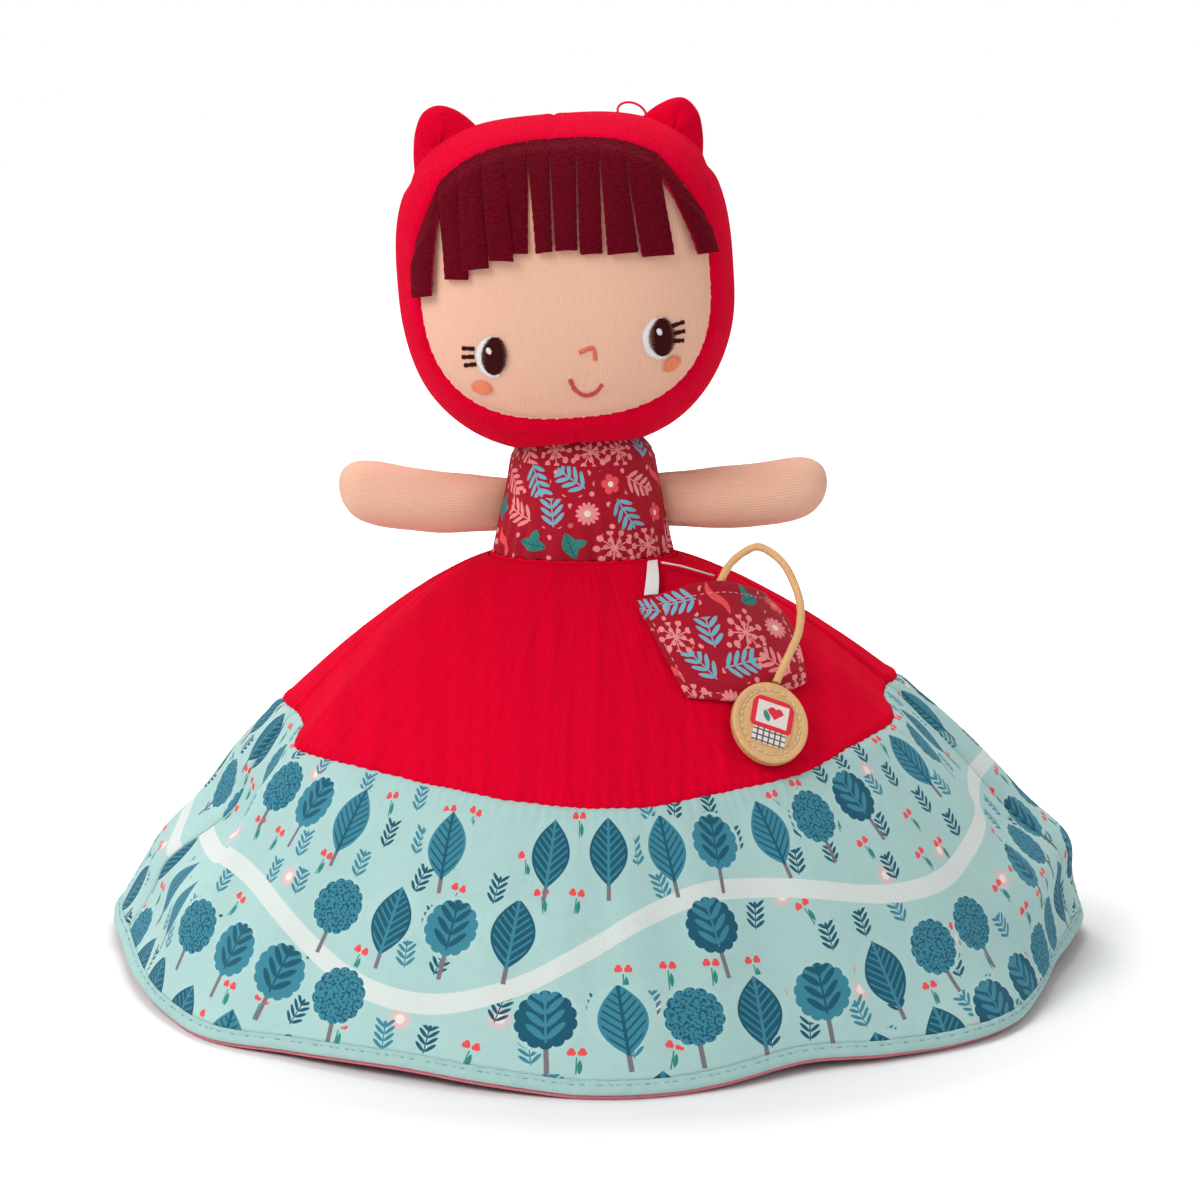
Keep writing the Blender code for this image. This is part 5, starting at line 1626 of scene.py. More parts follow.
@dataclass(frozen=True)
class FaceSide:
    """Where one side's embroidery sits, in millimetres on the face."""

    eye: tuple[float, float]
    slant: float
    gleam: tuple[float, float]
    lashes: tuple
    cheek: tuple[float, float]
    cheek_half: tuple[float, float]
    cheek_slant: float


FACE_PLAN = {
    "left": FaceSide((-23.9, -18.4), -8.0, (-25.3, -16.4),
                     (((-30.6, -15.9), (-34.3, -15.6)), ((-30.9, -18.5), (-34.6, -18.5)),
                      ((-30.5, -21.0), (-34.1, -21.3))), (-29.1, -28.8), (3.9, 2.2), -12.0),
    "right": FaceSide((29.9, -16.4), -2.0, (28.7, -14.4),
                      (((33.6, -13.3), (37.3, -12.5)), ((34.2, -15.8), (37.3, -15.5)),
                       ((33.7, -18.3), (36.8, -18.5))), (32.4, -25.7), (3.6, 2.1), 35.0),
}
NOSE_ROUTE = ((3.2, -19.2), (5.2, -18.5), (7.4, -17.9), (8.0, -19.6), (8.0, -22.0))
MOUTH_ROUTE = ((-0.5, -27.9), (0.9, -31.4), (3.9, -33.6), (7.3, -32.9), (9.6, -30.4))
EMBROIDERY_DENTS = ((-24.5, -18.4, 7.0, 0.35), (29.6, -16.4, 7.0, 0.35), (-29.1, -29.0, 4.0, 0.2),
                    (32.2, -25.7, 4.0, 0.2), (6.0, -20.0, 3.5, 0.2), (4.5, -32.0, 5.0, 0.25))
FRINGE_ENDS = ((-47.5, -40.8, 1.3), (-37.1, -29.2, 6.4), (-30.9, -22.2, 9.1), (-22.0, -14.3, 11.1),
               (-18.1, -10.2, 13.2), (-8.1, -2.6, 12.9), (-2.0, 5.0, 13.0), (5.5, 12.7, 11.5),
               (13.7, 23.4, 10.8), (24.3, 34.7, 9.2), (40.7, 47.5, 8.2))
FRINGE_SLITS = ((-37.6, 26.4), (-31.1, 33.6), (-23.4, 36.7), (-16.0, 40.6), (-8.6, 41.0), (-1.7, 43.7),
                (6.6, 43.5), (13.8, 41.5), (22.0, 40.0), (32.6, 35.6))
FRINGE_LAYERS = (0.2, -0.3, 0.5, 0.9, -0.7, -0.2, 0.2, -0.1, 0.2, 0.0, 0.2)
EAR_OUTLINES = {
    "left": ((-46.6, 34.0), (-47.1, 40.0), (-46.8, 47.1), (-45.6, 53.5), (-42.8, 58.8), (-37.9, 60.9),
             (-32.1, 59.2), (-26.6, 54.6), (-23.0, 49.0), (-28.0, 42.0), (-38.0, 35.0)),
    "right": ((47.4, 32.0), (47.9, 38.0), (48.4, 45.0), (47.4, 52.4), (43.6, 57.2), (39.0, 57.6),
              (33.3, 55.4), (28.1, 51.7), (24.0, 47.5), (29.0, 41.0), (38.0, 34.0)),
}


# Body


@dataclass
class Body:
    """A doll's stuffed torso in its bodice, its neck and its arms."""

    shop: Shop
    doll: Doll
    waist: Matrix
    droop: float
    hand_rise: float
    arm_sinks: tuple[float, float]
    arm_length: float = 57.0 * MM
    arm_height: float = 10.7 * MM
    arm_depth: float = 10.0 * MM
    arm_rise: float = 20 * MM
    bend_share: float = 0.32

    def bodice(self) -> Piece:
        """The print bodice, full with stuffing and lightly gathered at the waist."""
        columns, rows = 192, 60
        turn = np.linspace(0, math.tau, columns, endpoint=False)[None, :]
        share = np.linspace(1, 0, rows)[:, None]
        height = 0.6 * MM + (TORSO.height - 0.6 * MM) * share
        pleat = 0.55 * MM * np.sin(turn * 26 + 2 * np.sin(turn * 5)) * (1 - share) ** 1.5
        points = np.stack(np.broadcast_arrays(
            (TORSO.half_width(height) + pleat) * np.cos(turn), (TORSO.depth(height) + pleat) * np.sin(turn),
            height), -1)
        bump = 0.5 * MM * ripple(points, 15 * MM, 5.0)[..., None]
        level = points * np.array((1.0, 1.0, 0.0))
        edge = ease((1 - share) / 0.08)[..., None]
        points = points + unit(level) * (bump * edge - (1 - edge) * 0.5 * MM)
        top = points[:1] * np.array((0.78, 0.75, 1.0)) + np.array((0, 0, -0.3 * MM))
        points = np.concatenate((top, points))
        flat_turn = np.linspace(0, math.tau, columns + 1)[None, :]
        flat_height = np.concatenate(([[TORSO.height + 5 * MM]], height))
        flat = np.stack(np.broadcast_arrays(flat_turn * 26 * MM, flat_height), -1)
        mesh = outwards(grid_mesh("bodice", points, flat, True), (0, 0, TORSO.height / 2))
        return self.sewn("bodice", mesh, 0.8 * MM)

    def neck(self) -> Piece:
        """The bodice's cloth over the stuffed neck, under the hood's chin."""
        columns = 128
        steepest = math.acos((TORSO.height - TORSO.ball_rise) / (TORSO.ball - 0.3 * MM))
        tilt = np.linspace(0, steepest, 30)[:, None]
        turn = np.linspace(0, math.tau, columns, endpoint=False)[None, :]
        reach = TORSO.ball - 0.3 * MM
        closing = (tilt / steepest) ** 3
        wide = 1 + (23.2 / 23.75 - 1) * closing
        deep = 1 + (20.2 / 23.75 - 1) * closing
        points = np.stack(np.broadcast_arrays(
            reach * np.sin(tilt) * np.cos(turn) * wide, reach * np.sin(tilt) * np.sin(turn) * deep,
            TORSO.ball_rise + reach * np.cos(tilt) + 0.1 * MM), -1)
        flat_turn = np.linspace(0, math.tau, columns + 1)[None, :]
        flat = np.stack(np.broadcast_arrays(flat_turn * 26 * MM, TORSO.height + (steepest - tilt) * reach),
                        -1)
        mesh = outwards(grid_mesh("neck", points, flat, True), (0, 0, TORSO.ball_rise))
        return self.sewn("neck", mesh, 0.6 * MM)

    def sewn(self, word: str, mesh: Mesh, wall: float) -> Piece:
        """A piece of the print on its doll.

        Args:
            word: What the piece is.
            mesh: Its surface in the doll's frame.
            wall: Thickness of its cloth.

        Returns:
            The piece.
        """
        outfit = self.doll.value
        piece = self.shop.make(f"{outfit.prefix}_{word}_cloth", place_mesh(mesh, self.waist), outfit.print)
        thicken(piece, wall)
        return settle(piece)

    def arm(self, side: int) -> Piece:
        """A stuffed jersey arm, pinched in the bodice's side seam.

        Args:
            side: -1 for the arm at the doll's -X side, 1 for the other.

        Returns:
            The arm.
        """
        knots = ((0.0, 0.86, 0.10), (0.10, 0.88, 0.46), (0.24, 0.92, 0.76), (0.42, 0.97, 0.93),
                 (0.62, 1.0, 1.0),
                 (0.80, 1.0, 1.0), (0.90, 0.88, 0.88), (0.965, 0.6, 0.6), (0.992, 0.3, 0.3),
                 (1.0, 0.02, 0.02))
        fine = np.array(smooth_route(knots, 0.016))
        sides = 56
        turn = np.linspace(0, math.tau, sides, endpoint=False)
        middle = np.zeros(3)
        rows, travelled, last = [], [], 0.0
        for station, high, deep in fine:
            bend = self.droop * min((station + last) / 2 / self.bend_share, 1)
            stride = (station - last) * self.arm_length
            middle = middle + stride * np.array((math.cos(bend), 0, math.sin(bend)))
            last = station
            tilt = self.droop * min(station / self.bend_share, 1)
            lean = np.array((-math.sin(tilt), 0, math.cos(tilt)))
            hug = TORSO.narrowing * (1 - station)
            crease = 1 - 0.07 * np.abs(np.sin(turn * 4.5 + 0.6)) * (1 - ease(station / 0.3))
            rise = (high * self.arm_height * crease * np.sin(turn))[:, None]
            depth = deep * self.arm_depth * crease * np.cos(turn)
            ring = middle + rise * lean
            ring[:, 0] -= hug * rise[:, 0]
            ring[:, 1] += depth
            sink = self.arm_sinks[0 if side < 0 else 1]
            ring[:, 2] += self.hand_rise * station ** 2.2 - sink * (1 - 0.6 * station ** 3)
            rows.append(ring)
            travelled.append(station * self.arm_length)
        rows.insert(0, np.broadcast_to(rows[0].mean(0), rows[0].shape))
        travelled.insert(0, -4 * MM)
        points = np.array(rows)
        bump = 0.35 * MM * ripple(points, 12 * MM, 7.0 + side)
        away = unit(points - points.mean(1, keepdims=True))
        points = points + away * (bump * ease(np.array(travelled)[:, None] / (12 * MM)))[..., None]
        flat_turn = np.linspace(0, math.tau, sides + 1)
        flat = np.stack(np.broadcast_arrays(flat_turn[None, :] * 10.6 * MM, np.array(travelled)[:, None]), -1)
        points[..., 0] *= side
        seam = side * (TORSO.half_width(self.arm_rise) - 1.6 * MM)
        points = points + np.array((seam, 0, self.arm_rise))
        mesh = outwards(grid_mesh("arm", points, flat, True), points.reshape(-1, 3).mean(0))
        word = "left" if side < 0 else "right"
        name = f"{self.doll.value.prefix}_arm_{word}_jersey"
        return self.shop.make(name, place_mesh(mesh, self.waist), "arm_jersey")


# Skirt


class ClothPlan:
    """Lengths along the skirt's cloth, so that its print isn't stretched."""

    def __init__(self) -> None:
        """Measure the skirt once."""
        self.azimuths = np.arange(-180.0, 361.0, 3.0)
        self.parts = np.linspace(0, 1, 61)
        grid = SKIRT.surface(self.azimuths[:, None], self.parts[None, :])
        down = np.linalg.norm(np.diff(grid, axis=1), axis=-1)
        self.down = np.concatenate((np.zeros((len(grid), 1)), down.cumsum(1)), 1)
        ring = SKIRT.surface(self.azimuths, 0.8)
        around = np.linalg.norm(np.diff(ring, axis=0), axis=-1)
        self.around = np.concatenate(([0.0], around.cumsum()))
        self.around -= np.interp(0.0, self.azimuths, self.around)

    def flat(self, azimuth: Array, part: Array) -> Array:
        """Flat coordinates of places on the skirt in metres of cloth."""
        azimuth, part = paired(azimuth, part)
        column = (azimuth - self.azimuths[0]) / 3.0
        low = np.clip(column.astype(int), 0, len(self.azimuths) - 2)
        row = part * (len(self.parts) - 1)
        top = np.clip(row.astype(int), 0, len(self.parts) - 2)
        a, b = column - low, row - top
        first = self.down[low, top] * (1 - a) + self.down[low + 1, top] * a
        second = self.down[low, top + 1] * (1 - a) + self.down[low + 1, top + 1] * a
        return np.stack((np.interp(azimuth, self.azimuths, self.around), -(first * (1 - b) + second * b)), -1)


PLAN = ClothPlan()


def gathers(azimuth: Array, part: Array) -> Array:
    """Soft waves of the gauze in metres: upright in front and behind, fanned at the sides.

    Args:
        azimuth: Azimuths in degrees.
        part: Parts of the way to the hem.

    Returns:
        Heights over the surface.
    """
    turn = np.radians(azimuth)
    across = SKIRT.surface(azimuth, part)[..., 0] / MM
    upright = np.cos(turn) ** 2 * ease(part / 0.12)
    fan = 0.30 * np.sin(turn * 11 + 1.3 * np.sin(turn * 5)) + 0.10 * np.sin(turn * 53 + 2 * np.sin(turn * 7))
    rows = 0.22 * np.sin(across * 0.36 + 1.6 * np.sin(across * 0.11)) + 0.13 * np.sin(
        across * 1.05 + 2.2 * np.sin(across * 0.17) + 5 * part)
    return MM * (fan * (1 - upright) + rows * upright) * ease(part / 0.25) * ease((1 - part) / 0.3)


@dataclass(frozen=True)
class Panels:
    """One side of the skirt: which azimuths it spans."""

    word: str
    first: float
    last: float
    columns: int


class SkirtSide(Enum):
    """The skirt's two sides, joined at its side seams."""

    FRONT = Panels("front", -96.0, 96.0, 420)
    BACK = Panels("back", 96.0, 264.0, 340)


@dataclass
class Skirt:
    """The skirt: gauze tiers, printed bands, linings and a stitched hem."""

    shop: Shop
    peek: float = 2.2 * MM

    def azimuths(self, side: SkirtSide) -> Array:
        """Columns of one side."""
        return np.linspace(side.value.first, side.value.last, side.value.columns)

    def seam_dip(self, azimuth: Array) -> Array:
        """How far the cloth sinks into the side seams."""
        away = np.minimum(np.abs(azimuth - 96), np.minimum(np.abs(azimuth + 96), np.abs(azimuth - 264)))
        return 1.0 * MM * bell(away, 0.7)

    def tier(self, side: SkirtSide) -> Piece:
        """The crinkled red tier, puckered where the band is sewn to it."""
        azimuths = self.azimuths(side)
        ends = SKIRT.tier_end(azimuths) + 0.004

        def depth(azimuth: Array, share: Array) -> Array:
            """Depth of the cloth inside the skirt."""
            part = share * SKIRT.tier_end(azimuth)
            tuck = 1.3 * MM * ease((share - 0.985) / 0.015) - 0.35 * MM * bell(share - 0.965, 0.014)
            pucker = 0.2 * MM * np.sin(np.radians(azimuth) * 150 + 3 * np.sin(np.radians(azimuth) * 11))
            pucker = pucker * bell(share - 0.975, 0.025)
            return tuck + pucker + self.seam_dip(azimuth) - gathers(azimuth, part) + 0.3 * MM

        return self.cloth(f"{side.value.word}_tier_gauze", azimuths, (np.zeros_like(azimuths), ends), 114,
                          depth,
                          "tier_gauze", 0.9 * MM, 0.55 * MM)

    def cloth(self, name: str, azimuths: Array, span: tuple[Array, Array], rows: int,
              depth: Callable[[Array, Array], Array] | float, finish: str, wall: float,
              crinkle: float) -> Piece:
        """A sheet of the skirt.

        Args:
            name: Name of the piece.
            azimuths: Azimuth of each column.
            span: Parts at which the columns start and end.
            rows: Number of rows.
            depth: Depth inside the skirt, or a function of azimuth and share from top to end.
            finish: Name of its finish.
            wall: Thickness.
            crinkle: Depth of its crinkles.

        Returns:
            The sheet.
        """
        tops, ends = span
        share = np.linspace(0, 1, rows)[:, None]
        part = tops + (ends - tops) * share
        turn = np.broadcast_to(azimuths, part.shape)
        deep = depth(turn, np.broadcast_to(share, part.shape)) if callable(depth) else np.full(part.shape,
                                                                                               depth)
        mesh = grid_mesh(name, SKIRT.point(turn, part, deep), PLAN.flat(turn, np.clip(part, 0, 1)))
        outwards(mesh, (0, 0, 60 * MM))
        piece = self.shop.make(name, mesh, finish)
        if crinkle:
            rim = np.minimum(np.minimum(share, 1 - share) * 14, 1)
            slack = np.broadcast_to(rim, part.shape).ravel().astype(np.float32)
            layer = mesh.attributes.new("slack", "FLOAT", "POINT")
            layer.data.foreach_set("value", slack)
            values = {"Depth": crinkle, "Across": 210.0, "Along": 22.0, "Seed": float(len(name))}
            self.shop.crinkle.put_on(piece, values)
        thicken(piece, wall)
        return settle(piece)

    def band(self, side: SkirtSide) -> Piece:
        """The printed band, down to the hem."""
        azimuths = self.azimuths(side)
        tops = SKIRT.tier_end(azimuths) - 0.004

        def depth(azimuth: Array, share: Array) -> Array:
            """Depth of the cloth inside the skirt."""
            tuck = 1.3 * MM * (1 - ease(share / 0.02)) - 0.3 * MM * bell(share - 0.045, 0.02)
            pucker = 0.15 * MM * np.sin(np.radians(azimuth) * 150 + 3 * np.sin(np.radians(azimuth) * 11))
            wave = 0.5 * MM * np.sin(np.radians(azimuth) * 23 + 2 * np.sin(np.radians(azimuth) * 4))
            return tuck - pucker * bell(share - 0.03,
                                        0.06) + self.seam_dip(azimuth) + wave * np.sin(np.pi * share)

        return self.cloth(f"{side.value.word}_band_print", azimuths, (tops, SKIRT.hem_start(azimuths)), 80,
                          depth,
                          "mint_meadow", 0.9 * MM, 0.18 * MM)

    def lining(self, side: SkirtSide) -> Piece:
        """The pink lining."""
        plan = side.value
        azimuths = np.linspace(plan.first - 0.3, plan.last + 0.3, plan.columns // 3)
        span = (np.full_like(azimuths, 0.06), SKIRT.hem_start(azimuths))
        return self.cloth(f"{plan.word}_lining_lawn", azimuths, span, 40, 2.2 * MM, "pink_lawn", 0.7 * MM,
                          0.0)

    def hem(self) -> Piece:
        """The folded hem, in the band's print."""
        azimuths = np.linspace(-96, 264, 960, endpoint=False)
        tops = SKIRT.hem_start(azimuths)
        front = ease((np.cos(np.radians(azimuths)) + 0.35) / 0.5)
        lift = self.peek * (0.35 + 0.65 * front)
        section = ((0.0, 0.0), (0.18, -0.15), (0.30, 0.12), (0.45, -0.25), (0.75, -0.3), (0.93, 0.1),
                   (1.0, 0.7),
                   (0.97, 1.2), (0.8, 1.5), (0.4, 1.4), (0.0, 1.2))
        rows, flats = [], []
        pucker = 0.25 * MM * np.sin(np.radians(azimuths) * 150 + 3 * np.sin(np.radians(azimuths) * 13))
        closed = np.append(azimuths, 264.0)
        for share, depth in (*section, section[0]):
            part = tops + (1 - tops) * share
            ring = SKIRT.point(azimuths, part, depth * MM + pucker * bell(np.array(share - 0.3), 0.35))
            ring[:, 2] += lift * share
            rows.append(ring)
            flats.append(PLAN.flat(closed, np.append(part, part[0])))
        mesh = clean(grid_mesh("hem", np.array(rows), np.array(flats), True), False, True)
        return self.shop.make("hem_band_lawn", mesh, "mint_lawn")

    def lining_edge(self) -> Piece:
        """The lining's folded edge, which shows under the hem."""
        azimuths = np.linspace(-96, 264, 720, endpoint=False)
        tops = SKIRT.hem_start(azimuths)
        section = ((0.15, 1.7), (0.7, 1.6), (0.95, 1.3), (1.0, 1.9), (0.97, 2.5), (0.7, 2.6), (0.15, 2.6))
        rows, flats = [], []
        closed = np.append(azimuths, 264.0)
        for share, depth in (*section, section[0]):
            part = tops + (1 - tops) * share
            rows.append(SKIRT.point(azimuths, part, depth * MM))
            flats.append(PLAN.flat(closed, np.append(part, part[0])))
        mesh = clean(grid_mesh("lining_edge", np.array(rows), np.array(flats), True), False, True)
        low = min(vertex.co.z for vertex in mesh.vertices)
        mesh.transform(Matrix.Translation((0, 0, max(0.05 * MM - low, 0))))
        return self.shop.make("lining_edge_lawn", mesh, "pink_lawn")

    def hem_stitches(self) -> Piece:
        """Topstitching round the hem."""
        azimuths = np.linspace(-96, 264, 900, endpoint=False)
        tops = SKIRT.hem_start(azimuths)
        route = SKIRT.point(azimuths, tops + (1 - tops) * 0.3, 0.05 * MM)
        route[:, 2] += self.peek * 0.25
        return sew(self.shop, "hem_topstitch", route, "mint_thread", 2.9 * MM, 2.0 * MM, 0.24 * MM,
                   closed=True)

    def waist(self) -> Piece:
        """The rolled seam at the waist."""
        azimuths = np.linspace(0, 360, 180, endpoint=False)
        rows, flats = [], []
        for turn in np.linspace(0, math.tau, 13):
            grow = 0.1 * MM + 0.8 * MM * math.cos(turn)
            x = (30.5 * MM + grow) * np.sin(np.radians(azimuths))
            y = -(20.5 * MM + grow) * np.cos(np.radians(azimuths))
            wave = 0.25 * MM * np.sin(np.radians(azimuths) * 40)
            rows.append(np.stack((x, y, WAIST_HEIGHT - 0.5 * MM + wave + 1.1 * MM * math.sin(turn) + 0 * x),
                                 -1))
            flats.append(np.stack((np.radians(np.append(azimuths, 360)) * 26 * MM, np.full(181, turn * MM)),
                                  -1))
        mesh = clean(grid_mesh("waist", np.array(rows), np.array(flats), True), False, True)
        return self.shop.make("waist_seam_roll", mesh, "red_gauze")


@dataclass
class Pocket:
    """The patch pocket, sewn round three sides and gaping at its top."""

    shop: Shop
    top_azimuths: tuple[float, float] = (27.0, 86.0)
    low_azimuths: tuple[float, float] = (32.0, 65.0)
    top_parts: tuple[float, float] = (0.158, 0.200)
    low_parts: tuple[float, float] = (0.386, 0.384)
    mouth_rise: float = 0.016
    lift: float = 0.6 * MM
    gape: float = 7.4 * MM
    wall: float = 1.4 * MM

    def on(self, across: Array, down: Array, raise_by: float = 0.0) -> Array:
        """Points of the pocket's middle surface."""
        across, down = paired(across, down)
        bow = 0.06 * np.sin(np.pi * across)
        down_at = down * (1 + bow) - 0.02 * bow
        ends = (self.top_azimuths, self.low_azimuths, self.top_parts, self.low_parts)
        top, low, high, deep = (first + (last - first) * across for first, last in ends)
        azimuth = top + (low - top) * down_at
        high = high - self.mouth_rise * np.sin(np.pi * across)
        part = high + (deep - high) * down_at
        open_by = (self.gape - self.lift) * np.sin(np.pi * across) ** 2 * (1 - np.clip(down, 0, 1)) ** 2
        rim = np.minimum(np.minimum(across, 1 - across) * 46, (1 - down) * 34)
        puff = 0.8 * MM * ease(rim / 5.0) - 0.35 * MM * bell(rim - 2.0, 0.6)
        top_roll = 0.5 * MM * bell(down * 34 - 0.8, 0.9)
        return SKIRT.point(azimuth, part, -(self.lift + open_by + puff + top_roll + self.wall / 2 + raise_by))

    def flat(self, across: Array, down: Array) -> Array:
        """Flat coordinates in metres."""
        across, down = paired(across, down)
        width = 56 * MM + (44 * MM - 56 * MM) * down
        return np.stack(((across - 0.5) * width, -down * 36 * MM), -1)

    def patch(self) -> Piece:
        """The pocket's cloth."""
        down, across = np.meshgrid(np.linspace(0, 1, 60), np.linspace(0, 1, 90), indexing="ij")
        mesh = grid_mesh("pocket", self.on(across, down, self.wall / 2), self.flat(across, down))
        outwards(mesh, (0, 0, 60 * MM))
        piece = self.shop.make("pocket_patch_print", mesh, "burgundy_ditsy")
        thicken(piece, self.wall, 0.45)
        return settle(piece)

    def topstitch(self) -> Piece:
        """Pink thread round the sewn edges and along the mouth."""
        inset = 1.9 / 50
        steps = np.linspace(0, 1, 40)
        left = [(inset, 0.06 + 0.89 * s) for s in steps]
        base = [(inset + (1 - 2 * inset) * s, 0.95) for s in steps[1:]]
        right = [(1 - inset, 0.95 - 0.89 * s) for s in steps[1:]]
        route = np.array(left + base + right)
        points = self.on(route[:, 0], route[:, 1], self.wall / 2 + 0.05 * MM)
        sides = sew(self.shop, "pocket_sides_thread", points, "pink_thread", 2.7 * MM, 1.8 * MM, 0.2 * MM)
        mouth = self.on(np.linspace(0.03, 0.97, 60), np.full(60, 0.1), self.wall / 2 + 0.05 * MM)
        top = sew(self.shop, "pocket_mouth_thread", mouth, "pink_thread", 2.7 * MM, 1.8 * MM, 0.2 * MM)
        return join("pocket_topstitch", [sides, top])


def ribbon_tab(shop: Shop) -> Piece:
    """The bare white ribbon in the waist seam."""
    azimuth, part = np.meshgrid(np.linspace(49.6, 56.6, 20), np.linspace(0.015, 0.140, 24))
    lift = 1.4 * MM + 0.5 * MM * np.sin(np.linspace(0, 3, 24))[:, None] + 0 * azimuth
    azimuth = azimuth - 17.0 * ((part - 0.015) / 0.125) ** 0.8
    points = SKIRT.point(azimuth, part, -lift)
    flat = np.stack((np.radians(azimuth) * 60 * MM, -part * 160 * MM), -1)
    mesh = outwards(grid_mesh("tab", points, flat), (0, 0, 60 * MM))
    piece = shop.make("ribbon_tab_satin", mesh, "ribbon_satin")
    thicken(piece, 0.5 * MM, 0.4)
    return settle(piece)


def loose_thread(shop: Shop) -> Piece:
    """The pale thread that lies from the ribbon towards the pocket."""
    azimuth = np.linspace(55, 73, 24)
    part = np.interp(azimuth, (55, 63, 73), (0.035, 0.06, 0.115))
    points = [Vector(point) for point in SKIRT.point(azimuth, part, np.full(24, -1.9 * MM))]
    return shop.make("waist_thread_end", tube_mesh("thread", points, 0.35 * MM, 8), "white_thread")


# Cord and charm


CORD_ROUTE = ((0.0511, -0.0300, 0.1267), (0.0489, -0.0288, 0.1291), (0.0460, -0.0279, 0.1325),
              (0.0448, -0.0262, 0.1380), (0.0480, -0.0222, 0.1445), (0.0535, -0.0205, 0.1492),
              (0.0589, -0.0220, 0.1509), (0.0663, -0.0270, 0.1458), (0.0709, -0.0330, 0.1354),
              (0.0706, -0.0370, 0.1263), (0.0673, -0.0395, 0.1186), (0.0646, -0.0423, 0.1136),
              (0.0627, -0.0456, 0.1103))


def braided_cord(shop: Shop, radius: float = 1.3 * MM) -> Piece:
    """The round braided cord from the pocket to the charm."""
    route = smooth_route(CORD_ROUTE, 0.4 * MM)
    sides = 18
    turn = np.linspace(0, math.tau, sides, endpoint=False)
    side = Vector((1, 0, 0))
    rows, flats, travelled = [], [], 0.0
    for i, point in enumerate(route):
        along = (route[min(i + 1, len(route) - 1)] - route[max(i - 1, 0)]).normalized()
        side = (side - along * side.dot(along)).normalized()
        up = along.cross(side)
        if i:
            travelled += (point - route[i - 1]).length
        wind = travelled / (1.5 * MM)
        braid = np.maximum(np.abs(np.sin(2 * turn + wind)), np.abs(np.sin(2 * turn - wind)))
        reach = radius * (0.9 + 0.14 * braid)
        ring = np.array(point)[None, :] + reach[:, None] * (
            np.cos(turn)[:, None] * np.array(side)[None, :] + np.sin(turn)[:, None] * np.array(up)[None, :])
        rows.append(ring)
        flats.append(np.stack((np.append(turn, math.tau) * radius, np.full(sides + 1, travelled)), -1))
    for end, point in ((0, route[0]), (len(rows), route[-1])):
        rows.insert(end, np.broadcast_to(np.array(point), rows[0].shape))
        flats.insert(end, flats[0 if end == 0 else -1])
    mesh = clean(grid_mesh("cord", np.array(rows), np.array(flats), True), False, True)
    return shop.make("charm_cord_braid", mesh, "woven_cord")


